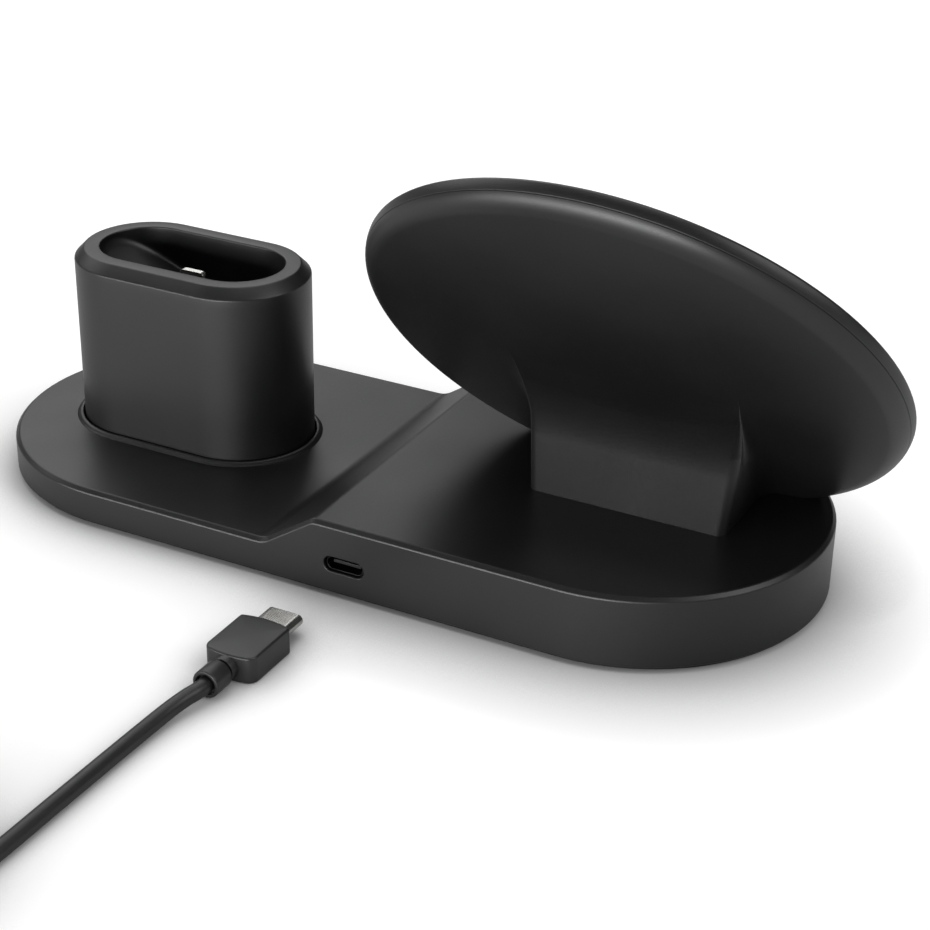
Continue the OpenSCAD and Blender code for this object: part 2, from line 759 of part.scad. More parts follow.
module neck_channel() {
    rise = (neck_top_z - 4 - high_deck_z) / channel_levels;
    loft(concat(
        [channel_ring(high_deck_z - 1)],
        [for (j = [1:channel_levels]) channel_ring(high_deck_z + j * rise)]
    ));
}

module below_deck() {
    translate([pad_x, 0, high_deck_z - far / 2]) cube(far, center = true);
}

module pad_rear_shell() {
    color(body_black) difference() {
        union() {
            difference() {
                union() {
                    at_pad() dome();
                    neck_outer();
                }
                at_pad() dome_hollow();
                neck_channel();
            }
            neck_bosses();
        }
        below_deck();
        for (p = neck_screws_at) translate([p[0], p[1], high_deck_z - 1])
            cylinder(r = pilot_r, h = neck_boss_h);
    }
}

// Four screw posts in the neck's foot, each tied to the side wall by a web
module neck_bosses() {
    side = neck_wid / 2 - neck_wall;
    reach = side + neck_post_gap - neck_screw_span / 2;
    for (p = neck_screws_at) translate([p[0], p[1], high_deck_z - eps]) {
        cylinder(r = boss_r, h = neck_boss_h);
        translate([sign(p[0] - pad_x) * reach / 2, 0, neck_boss_h / 2])
            cube([reach, rib_thick, neck_boss_h], center = true);
    }
}

module neck_screws() {
    for (p = neck_screws_at) translate([p[0], p[1], high_deck_z - deck_wall])
        screw(deck_wall + neck_boss_h - pilot_spare);
}

// Flat front of the pad, with a locating lip and posts for the coil's clamp
module pad_front_cover() {
    edge = [for (i = [0:4]) let (a = 90 - 90 * i / 4)
        [pad_r - pad_edge_r * (1 - cos(a)), -pad_edge_r * (1 - sin(a))]];
    rim = [for (i = [1:4]) let (a = split_a * i / 4)
        [pad_r - pad_rim_r * (1 - cos(a)), -pad_edge_r - pad_rim_r * sin(a)]];
    color(body_black) difference() {
        at_pad() difference() {
            union() {
                rotate_extrude($fn = 128) polygon(concat(
                    [[0, 0]], edge, rim,
                    [[lip_r, -pad_split], [lip_r, -pad_split - lip_deep],
                     [lip_r - lip_w, -pad_split - lip_deep], [lip_r - lip_w, -pad_wall], [0, -pad_wall]]));
                for (p = retainer_screws_at) translate([p[0], p[1], -retainer_seat])
                    cylinder(r = boss_r, h = retainer_seat - pad_wall + 0.1);
            }
            rotate_extrude($fn = 128) translate([grip_ring_r - fit_gap / 2, -grip_deep])
                square([grip_ring_w + fit_gap, 1]);
            for (p = retainer_screws_at) translate([p[0], p[1], -retainer_seat - 1])
                cylinder(r = pilot_r, h = retainer_seat + 0.2);
        }
        below_deck();
    }
}

module grip_ring() {
    color(rubber_grey) at_pad() rotate_extrude($fn = 128) translate([grip_ring_r, -grip_deep])
        square([grip_ring_w, grip_deep + grip_proud]);
}

// Flat spiral of litz wire, whose turns show as rounds on both faces
module phone_coil() {
    pitch = (coil_d - coil_bore) / 2 / coil_turns;
    t = coil_thick / 2;
    valley = t - 0.35;
    side = [for (i = [0:coil_turns - 1], k = [0, 0.15, 0.85])
        [coil_bore / 2 + (i + k) * pitch, k == 0 ? valley : t]];
    all = concat(side, [[coil_d / 2, valley]]);
    color(copper) at_pad() translate([0, 0, -coil_seat - t]) rotate_extrude()
        polygon(concat(all, [for (p = backwards(all)) [p[0], -p[1]]]));
}

module ferrite_sheet() {
    color(ferrite_grey) at_pad() translate([0, 0, -retainer_seat])
        cylinder(d = coil_d + 0.8, h = ferrite_thick);
}

// Clamp over the coil: a plate with three screw ears and a window for the leads
module coil_retainer() {
    color(inner_black) at_pad() translate([0, 0, -retainer_seat - retainer_thick]) difference() {
        union() {
            cylinder(d = coil_d - 4, h = retainer_thick);
            for (p = retainer_screws_at) {
                translate([p[0], p[1], 0]) cylinder(r = boss_r + 0.6, h = retainer_thick);
                rotate([0, 0, atan2(p[1], p[0])]) translate([0, -boss_r, 0])
                    cube([retainer_r, 2 * boss_r, retainer_thick]);
            }
        }
        for (a = [30:60:330]) rotate([0, 0, a]) translate([coil_d / 4 + 3, 0, -1])
            cylinder(d = 6, h = retainer_thick + 2);
        translate([0, 0, -1]) cylinder(d = coil_bore / 2, h = retainer_thick + 2);
        for (p = retainer_screws_at) translate([p[0], p[1], -1])
            cylinder(r = pass_r, h = retainer_thick + 2);
    }
}

module retainer_screws() {
    at_pad() for (p = retainer_screws_at) translate([p[0], p[1], -retainer_seat - retainer_thick])
        screw(retainer_thick + retainer_seat - 1);
}

// Earbud dock

// The cup that takes the earbud case: upright walls and a hollow floor
module cup_form(grow) {
    intersection() {
        translate([0, 0, cup_floor_z - grow]) linear_extrude(height = far)
            obround(cup_len + 2 * grow, cup_wid + 2 * grow);
        union() {
            translate([0, 0, cup_floor_z + cup_floor_r]) rotate([90, 0, 0])
                cylinder(r = cup_floor_r + grow, h = dock_wid, center = true, $fn = 128);
            translate([0, 0, cup_floor_z + cup_floor_r + far / 2]) cube(far, center = true);
        }
    }
}

module dock_shell() {
    color(body_black) at_dock() {
        difference() {
            union() {
                obround_solid(dock_len, dock_wid, dock_z, dock_top_z, dock_bevel);
                translate([0, 0, puck_z]) rotate([90, 0, 0]) cylinder(d = puck_d, h = -puck_front_y);
            }
            cup_form(0);
            difference() {
                dock_hollow();
                cup_form(cup_wall);
                cup_seat();
            }
            holder_cut();
            puck_cut();
        }
        dock_posts();
    }
}

module dock_hollow() {
    obround_solid(dock_len - 2 * dock_wall, dock_wid - 2 * dock_wall,
        dock_z - 1, dock_top_z - dock_bevel - 0.2);
}

// Flat land under the cup's floor, with two posts for the small board
module cup_seat() {
    translate([0, 0, seat_z + cup_wid / 4])
        cube([flange_w + 4, flange_t + 4.4, cup_wid / 2], center = true);
    for (s = [-1, 1]) translate([s * dock_post_x, 0, board_seat_z]) cylinder(r = boss_r, h = cup_depth);
}

module holder_cut() {
    translate([0, 0, seat_z - 1]) linear_extrude(height = cup_wall + 6)
        obround(holder_w + 2 * fit_gap, holder_t + 2 * fit_gap);
    for (s = [-1, 1]) translate([s * dock_post_x, 0, board_seat_z - 1])
        cylinder(r = pilot_r, h = dock_board_grip + 1.8);
}

// Bore for the puck, and the hole its leads go through
module puck_cut() {
    translate([0, 0, puck_z]) rotate([90, 0, 0]) {
        translate([0, 0, -puck_seat_y]) cylinder(r = puck_bore_r, h = puck_out + 2);
        translate([0, -lead_hole_drop, -puck_y - dock_wall - 1])
            cylinder(d = lead_hole_d, h = dock_wall + 4);
    }
}

// Screw posts at the foot of the dock, tied to its ends by webs
module dock_posts() {
    half = dock_len / 2 - dock_wall;
    difference() {
        for (p = dock_screws_at) let (x = p[0] - dock_x, s = sign(x)) {
            translate([x, 0, dock_z]) cylinder(r = boss_r, h = dock_boss_h);
            translate([s * (abs(x) + half + web_sink) / 2, 0, dock_z + dock_boss_h / 2])
                cube([half + web_sink - abs(x), rib_thick, dock_boss_h], center = true);
        }
        for (p = dock_screws_at) translate([p[0] - dock_x, 0, dock_z - 1])
            cylinder(r = pilot_r, h = dock_boss_h);
    }
}

module dock_screws() {
    for (p = dock_screws_at) translate([p[0], p[1], dock_z - socket_ledge_h])
        screw(socket_ledge_h + dock_boss_h - pilot_spare - 0.4);
}

// Holder of the earbud plug: a flange under the cup's floor and a pedestal
module plug_holder() {
    color(inner_black) at_dock() difference() {
        union() {
            translate([0, 0, board_seat_z]) linear_extrude(height = seat_z - board_seat_z)
                obround(flange_w, flange_t);
            translate([0, 0, seat_z - 0.1]) linear_extrude(height = cup_floor_z + 0.8 - seat_z + 0.1)
                obround(holder_w, holder_t);
        }
        translate([0, 0, board_seat_z - 1]) linear_extrude(height = 20)
            obround(tab_wid + 2 * screw_gap, tab_thick + 2 * screw_gap);
    }
}

// Metal tab with a rounded tip and pockets for its contacts
module earbud_plug() {
    top = cup_floor_z + tab_len;
    color(steel) at_dock() difference() {
        intersection() {
            translate([0, 0, board_seat_z]) linear_extrude(height = top - board_seat_z)
                obround(tab_wid, tab_thick);
            rotate([90, 0, 0]) linear_extrude(height = 2 * tab_thick, center = true) {
                translate([-tab_wid / 2, board_seat_z]) square([tab_wid, top - board_seat_z - tab_tip_r]);
                translate([-tab_wid / 2 + tab_tip_r, board_seat_z])
                    square([tab_wid - 2 * tab_tip_r, top - board_seat_z]);
                for (s = [-1, 1]) translate([s * (tab_wid / 2 - tab_tip_r), top - tab_tip_r])
                    circle(r = tab_tip_r);
            }
        }
        contact_forms();
    }
}

module contact_forms() {
    z = cup_floor_z + tab_len - 3;
    for (s = [-1, 1], i = [0:7])
        translate([(i - 3.5) * contact_pitch, s * (tab_thick - contact_deep) / 2, z])
            cube([0.65 * contact_pitch, contact_deep, 2.6], center = true);
}

module plug_contacts() {
    color("#c9a24a") at_dock() contact_forms();
}

module dock_board() {
    color(board_green) at_dock() translate([0, 0, board_seat_z - board_thick]) difference() {
        linear_extrude(height = board_thick) square([dock_board_w, dock_board_t], center = true);
        for (s = [-1, 1]) translate([s * dock_post_x, 0, -1]) cylinder(r = pass_r, h = board_thick + 2);
    }
}

module dock_board_screws() {
    at_dock() for (s = [-1, 1]) translate([s * dock_post_x, 0, board_seat_z - board_thick])
        screw(board_thick + dock_board_grip);
}

// Watch puck, from its face back to the dock's wall

module at_puck(y) {
    translate([dock_x, y, puck_z]) rotate([90, 0, 0]) children();
}

// Dished face that the back of a watch sits in
module puck_face() {
    r = puck_bore_r - fit_gap;
    color(inner_black) at_puck(puck_face_y + puck_face_thick) difference() {
        rotate_extrude($fn = 128) polygon([[0, 0], [r, 0], [r, puck_face_thick - 0.5],
            [r - 0.5, puck_face_thick], [0, puck_face_thick]]);
        translate([0, 0, puck_face_thick - 0.9 + dish_r]) sphere(r = dish_r, $fn = 128);
    }
}

module puck_coil() {
    color(copper) at_puck(puck_ferrite_y - puck_ferrite_t) rotate_extrude() translate([5.4, 0])
        square([puck_bore_r - 7.4, puck_coil_t]);
}

module puck_ferrite() {
    color(ferrite_grey) at_puck(puck_ferrite_y) cylinder(r = puck_bore_r - 0.8, h = puck_ferrite_t);
}

module puck_magnet() {
    color(tin) at_puck(puck_ferrite_y - puck_ferrite_t) cylinder(r = 4.6, h = puck_coil_t);
}

// Supply cable

// Round tube swept along a list of points: each ring is square to the line
// through its neighbours
tube_sides = 8;
function unit(v) = v / norm(v);
function heading(path, i) = unit(path[min(i + 1, len(path) - 1)] - path[max(i - 1, 0)]);
function tube_ring(path, i, r) = let (
        d = i == 0 ? unit(path[1] - path[0]) : heading(path, i),
        side = unit(cross(d, [0, 0, 1])),
        up = cross(side, d)
    ) [for (k = [0:tube_sides - 1]) let (a = 360 * (k + 0.5) / tube_sides)
        path[i] + r * cos(a) * side + r * sin(a) * up];

module tube(path, r) {
    loft([for (i = [0:len(path) - 1]) backwards(tube_ring(path, i, r))]);
}

module cable_plug_grip() {
    half = grip_l / 2;
    bow_r = (pow(grip_w / 2, 2) + pow(grip_bow, 2)) / (2 * grip_bow);
    color(body_black) difference() {
        translate([plug_x, plug_y + half, 0]) linear_extrude(height = grip_h) intersection() {
            square([grip_w, grip_l], center = true);
            translate([0, bow_r - half]) circle(r = bow_r, $fn = 96);
            translate([0, half - bow_r]) circle(r = bow_r, $fn = 96);
        }
        translate([plug_x, plug_y + grip_sink, plug_z]) rotate([90, 0, 0])
            linear_extrude(height = grip_l) obround(shell_w, shell_h);
    }
}

module cable_plug_shell() {
    color(steel) translate([plug_x, plug_y + grip_sink, plug_z]) rotate([90, 0, 0])
        linear_extrude(height = shell_l + grip_sink) difference() {
            obround(shell_w, shell_h);
            obround(shell_w - 2 * socket_wall, shell_h - 2 * socket_wall);
        }
}

module cable_plug_contacts() {
    color(part_black) translate([plug_x, plug_y + grip_sink, plug_z]) rotate([90, 0, 0])
        linear_extrude(height = shell_l + grip_sink - 0.4) difference() {
            obround(shell_w - 2 * socket_wall, shell_h - 2 * socket_wall);
            obround(6.6, 0.8);
        }
}

// Stepped sleeve where the cable leaves the grip
module cable_relief() {
    color(body_black) translate([plug_x, plug_y + grip_l, plug_z]) rotate([-90, 0, 0]) rotate_extrude()
        polygon([[0, 0], [relief_r, 0], [relief_r, 2.6], [relief_r + 0.35, 2.6],
            [relief_r + 0.35, relief_l - 0.8], [relief_r - 0.3, relief_l], [0, relief_l]]);
}

module cable_run() {
    color(body_black) tube(run_path, cord_d / 2);
}

// Outer shape of the stored turns
module cable_coil() {
    color(body_black) translate(coil_centre) rotate_extrude() translate([hank_d / 2 - hank_w / 2, 0])
        polygon([[hank_edge, 0], [hank_w - hank_edge, 0], [hank_w, hank_edge],
            [hank_w, hank_h - hank_edge], [hank_w - hank_edge, hank_h], [hank_edge, hank_h],
            [0, hank_h - hank_edge], [0, hank_edge]]);
}

module cable_tail() {
    color(body_black) tube(tail_path, cord_d / 2);
}

module at_usba() {
    translate(usba_at) rotate([0, 0, usba_turn]) children();
}

module usba_relief() {
    color(body_black) at_usba() translate([0, 0, usba_h / 2]) rotate([0, 90, 0]) rotate_extrude()
        polygon([[0, 0], [2.4, 0], [3.2, usba_relief_l], [0, usba_relief_l]]);
}

module usba_grip() {
    r = 2;
    in = [usba_l / 2 - r, usba_w / 2 - r];
    color(body_black) at_usba() translate([usba_relief_l + usba_l / 2, 0, 0])
        linear_extrude(height = usba_h) {
            square([usba_l - 2 * r, usba_w], center = true);
            square([usba_l, usba_w - 2 * r], center = true);
            for (i = [-1, 1], j = [-1, 1]) translate([i * in[0], j * in[1]]) circle(r = r);
        }
}

module usba_shell() {
    color(steel) at_usba() translate([usba_relief_l + usba_l, 0, usba_h / 2]) rotate([90, 0, 90])
        linear_extrude(height = usba_shell_l) difference() {
            square([usba_shell_w, usba_shell_h], center = true);
            square([usba_shell_w - 2 * socket_wall, usba_shell_h - 2 * socket_wall], center = true);
        }
}

module usba_insert() {
    wid = usba_shell_w - 2 * socket_wall;
    foot = (usba_h - usba_shell_h) / 2 + socket_wall;
    color(part_black) at_usba() translate([usba_relief_l + usba_l, -wid / 2, foot])
        cube([usba_shell_l - 0.6, wid, 1.8]);
}

base_cover();
base_plate();
grip_mat();
plate_screws();
main_board();
board_screws();
board_chips();
board_inductors();
board_capacitors();
socket_shell();
socket_tongue();
light_pipe();
ledge_strip();
pad_rear_shell();
pad_front_cover();
grip_ring();
phone_coil();
ferrite_sheet();
coil_retainer();
retainer_screws();
neck_screws();
dock_shell();
dock_screws();
plug_holder();
earbud_plug();
plug_contacts();
dock_board();
dock_board_screws();
puck_face();
puck_coil();
puck_ferrite();
puck_magnet();
cable_plug_grip();
cable_plug_shell();
cable_plug_contacts();
cable_relief();
cable_run();
cable_coil();
cable_tail();
usba_relief();
usba_grip();
usba_shell();
usba_insert();
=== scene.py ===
"""Looks of the wireless charger round its CAD frame: camera, cable, finishes, floor and lights."""

import math

import bmesh
import bpy
import numpy as np
from mathutils import Matrix, Vector


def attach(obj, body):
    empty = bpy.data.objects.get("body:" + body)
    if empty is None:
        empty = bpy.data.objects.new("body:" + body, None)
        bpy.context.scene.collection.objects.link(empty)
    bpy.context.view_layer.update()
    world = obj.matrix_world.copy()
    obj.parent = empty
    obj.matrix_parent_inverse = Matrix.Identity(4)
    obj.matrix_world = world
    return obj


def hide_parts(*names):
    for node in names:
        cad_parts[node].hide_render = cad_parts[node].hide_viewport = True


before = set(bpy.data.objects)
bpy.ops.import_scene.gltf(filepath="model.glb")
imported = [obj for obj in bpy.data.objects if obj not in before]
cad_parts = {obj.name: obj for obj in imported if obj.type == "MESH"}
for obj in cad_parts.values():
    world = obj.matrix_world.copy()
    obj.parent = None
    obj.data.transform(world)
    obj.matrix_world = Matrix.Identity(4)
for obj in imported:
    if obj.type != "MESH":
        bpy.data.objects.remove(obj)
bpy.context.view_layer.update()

MM = 0.001


# The camera stands where the photograph's did: behind the charger, on its dock's side

PHOTO_SIZE = 930
FOCAL_PX = 2054.24
SENSOR_MM = 36
CAMERA_PLACE_MM = (-197.85, 359.18, 221.37)
CAMERA_AZIMUTH = 206.975
CAMERA_ELEVATION = 27.135
CAMERA_ROLL = 1.084


def make_camera():
    """The camera looks back along the vector of its azimuth and elevation, and is rolled about it."""
    a, e, r = (math.radians(x) for x in (CAMERA_AZIMUTH, CAMERA_ELEVATION, CAMERA_ROLL))
    back = Vector((math.sin(a) * math.cos(e), -math.cos(a) * math.cos(e), math.sin(e)))
    right = Vector((0, 0, 1)).cross(back).normalized()
    up = back.cross(right)
    rolled = math.cos(r) * right + math.sin(r) * up
    upper = back.cross(rolled)
    turn = Matrix((rolled, upper, back)).transposed().to_4x4()
    data = bpy.data.cameras.new("camera")
    data.sensor_width = SENSOR_MM
    data.lens = SENSOR_MM * FOCAL_PX / PHOTO_SIZE
    data.clip_start, data.clip_end = 0.01, 20
    camera = bpy.data.objects.new("camera", data)
    camera.matrix_world = Matrix.Translation(Vector(CAMERA_PLACE_MM) * MM) @ turn
    bpy.context.scene.collection.objects.link(camera)
    bpy.context.scene.camera = camera


make_camera()


# Surfaces worked out with numpy


def mesh_piece(name, points, *face_groups, smooth=True):
    """A piece from an array of points in metres and arrays of faces, one for each number of corners."""
    faces = [face for group in face_groups for face in np.asarray(group).tolist()]
    mesh = bpy.data.meshes.new(name)
    mesh.from_pydata(np.asarray(points).tolist(), [], faces)
    mesh.validate()
    if smooth:
        mesh.polygons.foreach_set("use_smooth", np.ones(len(mesh.polygons), bool))
    mesh.update()
    piece = bpy.data.objects.new(name, mesh)
    bpy.context.scene.collection.objects.link(piece)
    return piece


def grid_faces(rows, columns):
    """Quads between neighbours on a grid of rows by columns, in which each row closes on itself."""
    i, j = np.meshgrid(np.arange(rows - 1), np.arange(columns), indexing="ij")
    k = (j + 1) % columns
    here, above = i * columns, (i + 1) * columns
    return np.stack([here + j, here + k, above + k, above + j], -1).reshape(-1, 4)


SPAN_STEPS = 6


def smooth_line(points):
    """A Catmull-Rom spline: between points 1 and 2 of four, it is the cubic whose slopes are half of
    the differences (2 - 0) and (3 - 1). The end points are doubled by reflection."""
    p = np.asarray(points, float)
    p = np.vstack([2 * p[0] - p[1], p, 2 * p[-1] - p[-2]])
    t = np.linspace(0, 1, SPAN_STEPS, endpoint=False)[None, :, None]
    a, b, c, d = (p[i : len(p) - 3 + i, None, :] for i in range(4))
    square = 2 * a - 5 * b + 4 * c - d
    cube = 3 * b - a - 3 * c + d
    span = 0.5 * (2 * b + (c - a) * t + square * t**2 + cube * t**3)
    return np.vstack([span.reshape(-1, 3), p[-2]])


def eased_step(value):
    """Goes from 0 to 1 as the value does, by 3 v^2 - 2 v^3, and stays level on either side."""
    v = np.clip(value, 0, 1)
    return v * v * (3 - 2 * v)


def tube(path, radius, sides=20):
    """Points round a path: p + r (cos a * side + sin a * up), where side is level and square to the
    path, and up is square to both. A fan of triangles closes each end."""
    path = np.asarray(path, float)
    ahead = np.gradient(path, axis=0)
    ahead /= np.linalg.norm(ahead, axis=1, keepdims=True)
    side = np.cross(ahead, [0.0, 0.0, 1.0])
    side /= np.linalg.norm(side, axis=1, keepdims=True)
    up = np.cross(side, ahead)
    a = np.linspace(0, 2 * np.pi, sides, endpoint=False)[None, :, None]
    rings = path[:, None] + radius * (np.cos(a) * side[:, None] + np.sin(a) * up[:, None])
    points = np.vstack([rings.reshape(-1, 3), path[:1], path[-1:]])
    n = len(path) * sides
    j = np.arange(sides)
    k = (j + 1) % sides
    start_fan = np.stack([k, j, np.full(sides, n)], 1)
    end_fan = np.stack([n - sides + j, n - sides + k, np.full(sides, n + 1)], 1)
    return points, grid_faces(len(path), sides), start_fan, end_fan


# The supply cable lies on the floor behind the base, its spare length coiled out of the camera's view

CORD_D = 3.4
RUN = [
    (-3.8, 86.2, 3.05), (-3.8, 87.4, 3.05), (-3.5, 89, 2.97), (-2.9, 90.8, 2.78),
    (-2.4, 92.8, 2.53), (-1.95, 95.3, 2.28), (-1.6, 98.3, 2.05), (-1.35, 102, 1.88),
    (-1.15, 106, 1.76), (-1, 111, 1.7), (-0.9, 117, 1.7), (-0.8, 124, 1.7), (-0.7, 131, 1.7),
    (-0.64, 138, 1.7), (-0.55, 144, 1.7), (-0.3, 150, 1.7), (0.1, 156.5, 1.7),
]
TAIL = [
    (30, 186.8, 8.4), (36, 186.2, 7.2), (42.5, 184.4, 4.8), (48.5, 181.1, 2.7),
    (53.5, 176.4, 1.8), (56.6, 171, 1.8), (58, 165, 2.6), (58, 160, 3.6), (58, 156, 4), (58, 153, 4),
]
COIL_CENTRE = (24.2, 163)
COIL_R = 23.8
# Each turn's place: cords inwards from the outermost turn, and cords up from the floor
TURNS = [(0, 0), (1, 0), (2, 0), (2, 1), (1, 1), (0, 1), (0, 2)]
# The share of each turn over which the cord crosses to the next turn's place
CROSSINGS = [(0.86, 0.98), (0.86, 0.98), (0.73, 0.85), (0.60, 0.72), (0.60, 0.72), (0.46, 0.58)]
LAST_TURN = 6.25
POINTS_PER_TURN = 40


def coil_line():
    """A clockwise winding: radius and height step smoothly, by 3 s^2 - 2 s^3, from one turn's place to
    the next over that turn's crossing."""
    t = np.linspace(0, LAST_TURN, int(LAST_TURN * POINTS_PER_TURN) + 1)
    place = np.tile(np.array(TURNS[0], float), (len(t), 1))
    for k, (start, end) in enumerate(CROSSINGS):
        share = eased_step((t - k - start) / (end - start))[:, None]
        place += share * (np.array(TURNS[k + 1]) - np.array(TURNS[k]))
    r = COIL_R - CORD_D * place[:, 0]
    a = np.pi - 2 * np.pi * t
    x = COIL_CENTRE[0] + r * np.cos(a)
    y = COIL_CENTRE[1] + r * np.sin(a)
    return np.stack([x, y, CORD_D * (place[:, 1] + 0.5)], 1)


def cable_line():
    """The cable's centre line in metres, from the small plug's sleeve to the large plug's. The splines
    of the run and the tail take in two of the coil's points, so that they meet it at its own slope,
    and the spans between those points are dropped again."""
    coil = coil_line()
    run = smooth_line(RUN + [tuple(coil[0]), tuple(coil[2])])[: -SPAN_STEPS - 1]
    tail = smooth_line([tuple(coil[-3]), tuple(coil[-1])] + TAIL)[SPAN_STEPS + 1 :]
    return np.vstack([run, coil, tail]) * MM


line = cable_line()
cable = mesh_piece("supply_cable", *tube(line, CORD_D / 2 * MM))
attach(cable, "root")
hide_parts("cable_run", "cable_coil", "cable_tail")


# Procedural materials


def linear(code):
    """An sRGB hex colour as linear light: c / 12.92 up to 0.04045, and above that
    ((c + 0.055) / 1.055) ** 2.4."""
    c = np.array([int(code[i : i + 2], 16) / 255 for i in (1, 3, 5)])
    return (*np.where(c <= 0.04045, c / 12.92, ((c + 0.055) / 1.055) ** 2.4).tolist(), 1.0)


def per_mm(size):
    """A pattern's scale, in repeats a metre, from the size of one grain or line in millimetres."""
    return 1 / (size * MM)


def add(tree, kind, inputs=None, **settings):
    """Adds a node. Settings are its properties, inputs its sockets' values or what feeds them."""
    made = tree.nodes.new(kind)
    for key, value in settings.items():
        setattr(made, key, value)
    for socket, value in (inputs or {}).items():
        if isinstance(value, bpy.types.NodeSocket):
            tree.links.new(value, made.inputs[socket])
        else:
            made.inputs[socket].default_value = value
    return made


def new_material(name):
    material = bpy.data.materials.new(name)
    material.use_nodes = True
    material.node_tree.nodes.clear()
    return material, material.node_tree


def object_place(tree, stretch=(1, 1, 1)):
    """Object coordinates in metres, stretched for a pattern that runs one way."""
    place = add(tree, "ShaderNodeTexCoord").outputs["Object"]
    return add(tree, "ShaderNodeMapping", {"Vector": place, "Scale": stretch}).outputs["Vector"]


def between(tree, value, low, high, from_low=0.3, from_high=0.7):
    """Maps a pattern's usual span on to low and high."""
    return add(
        tree,
        "ShaderNodeMapRange",
        {"Value": value, "From Min": from_low, "From Max": from_high, "To Min": low, "To Max": high},
    ).outputs["Result"]


def two_tone(tree, factor, first, second):
    """Mixes two colours. On a Mix node the colour sockets are inputs 6 and 7, and output 2."""
    mix = add(tree, "ShaderNodeMix", {0: factor, 6: first, 7: second}, data_type="RGBA")
    return mix.outputs[2]


def close_material(tree, inputs, height=None, depth_mm=0.0, constants=None):
    """Ends a material: a bump from height, a Principled shader with its constants, the output."""
    if height is not None:
        inputs["Normal"] = add(
            tree, "ShaderNodeBump", {"Height": height, "Strength": 1.0, "Distance": depth_mm * MM}
        ).outputs["Normal"]
    shader = add(tree, "ShaderNodeBsdfPrincipled", {**inputs, **(constants or {})})
    add(tree, "ShaderNodeOutputMaterial", {"Surface": shader.outputs["BSDF"]})


# How far the melt's flow and the grain vary a moulding's roughness, and how wide the flow's patches are
FLOW_GLOSS = 0.025
GRAIN_GLOSS = 0.03
FLOW_MM = 22


def moulded(name, dark, pale, rough, grain_mm, depth_mm, constants=None):
    """Moulded plastic or rubber. The mould's spark-eroded skin gives a grain in colour and bump, and
    slow flow of the melt varies the gloss over centimetres."""
    material, tree = new_material(name)
    place = object_place(tree)
    grain = add(
        tree, "ShaderNodeTexNoise", {"Vector": place, "Scale": per_mm(grain_mm), "Detail": 3.0}
    )
    flow = add(
        tree, "ShaderNodeTexNoise", {"Vector": place, "Scale": per_mm(FLOW_MM), "Detail": 1.0}
    )
    gloss = add(
        tree,
        "ShaderNodeMath",
        {
            0: between(tree, flow.outputs["Fac"], rough - FLOW_GLOSS, rough + FLOW_GLOSS),
            1: between(tree, grain.outputs["Fac"], -GRAIN_GLOSS, GRAIN_GLOSS),
        },
        operation="ADD",
    )
    colour = two_tone(tree, between(tree, grain.outputs["Fac"], 0, 1), linear(dark), linear(pale))
    close_material(
        tree,
        {"Base Color": colour, "Roughness": gloss.outputs[0]},
        grain.outputs["Fac"],
        depth_mm,
        constants,
    )
    return material


# How far streaks and clouds vary a plating's roughness, how many times longer than wide a streak is,
# and how wide the clouds are
STREAK_GLOSS = 0.03
CLOUD_GLOSS = 0.008
STREAK_STRETCH = 25
CLOUD_MM = 3


def plated(name, dark, pale, rough, along, streak_mm=0.18, depth_mm=0.0002):
    """Plated sheet metal: drawing it through the die leaves fine streaks along one axis, which spread
    the highlights across it."""
    material, tree = new_material(name)
    stretch = tuple(1 / STREAK_STRETCH if axis == along else 1.0 for axis in "XYZ")
    streak = add(
        tree,
        "ShaderNodeTexNoise",
        {"Vector": object_place(tree, stretch), "Scale": per_mm(streak_mm), "Detail": 2.0},
    )
    cloud = add(
        tree,
        "ShaderNodeTexNoise",
        {"Vector": object_place(tree), "Scale": per_mm(CLOUD_MM), "Detail": 2.0},
    )
    gloss = add(
        tree,
        "ShaderNodeMath",
        {
            0: between(tree, streak.outputs["Fac"], rough - STREAK_GLOSS, rough + STREAK_GLOSS),
            1: between(tree, cloud.outputs["Fac"], -CLOUD_GLOSS, CLOUD_GLOSS),
        },
        operation="ADD",
    )
    colour = two_tone(tree, between(tree, cloud.outputs["Fac"], 0, 1), linear(dark), linear(pale))
    close_material(
        tree,
        {"Base Color": colour, "Roughness": gloss.outputs[0]},
        streak.outputs["Fac"],
        depth_mm,
        {"Metallic": 1.0},
    )
    return material


def laminate(name):
    """Glass-epoxy circuit board under green solder resist: copper tracks 0.5 mm wide show through as
    paler ridges on a 2.2 mm grid, with tinned pads where the grid crosses."""
    material, tree = new_material(name)
    place = object_place(tree)
    track = add(
        tree,
        "ShaderNodeTexBrick",
        {"Vector": place, "Scale": per_mm(4.4), "Mortar Size": 0.03, "Mortar Smooth": 0.1,
         "Color1": (0, 0, 0, 1), "Color2": (0, 0, 0, 1), "Mortar": (1, 1, 1, 1)},
    )
    cell = add(tree, "ShaderNodeTexVoronoi", {"Vector": place, "Scale": per_mm(3.1)})
    pad = between(tree, cell.outputs["Distance"], 1, 0, 0.11, 0.13)
    resist = two_tone(tree, track.outputs["Color"], linear("#14401F"), linear("#2A6B39"))
    colour = two_tone(tree, pad, resist, linear("#C9C6BC"))
    rough = add(
        tree, "ShaderNodeMath", {0: track.outputs["Fac"], 1: 0.12, 2: 0.28}, operation="MULTIPLY_ADD"
    )
    close_material(
        tree,
        {"Base Color": colour, "Roughness": rough.outputs[0]},
        track.outputs["Fac"],
        0.03,
        {"IOR": 1.55},
    )
    return material


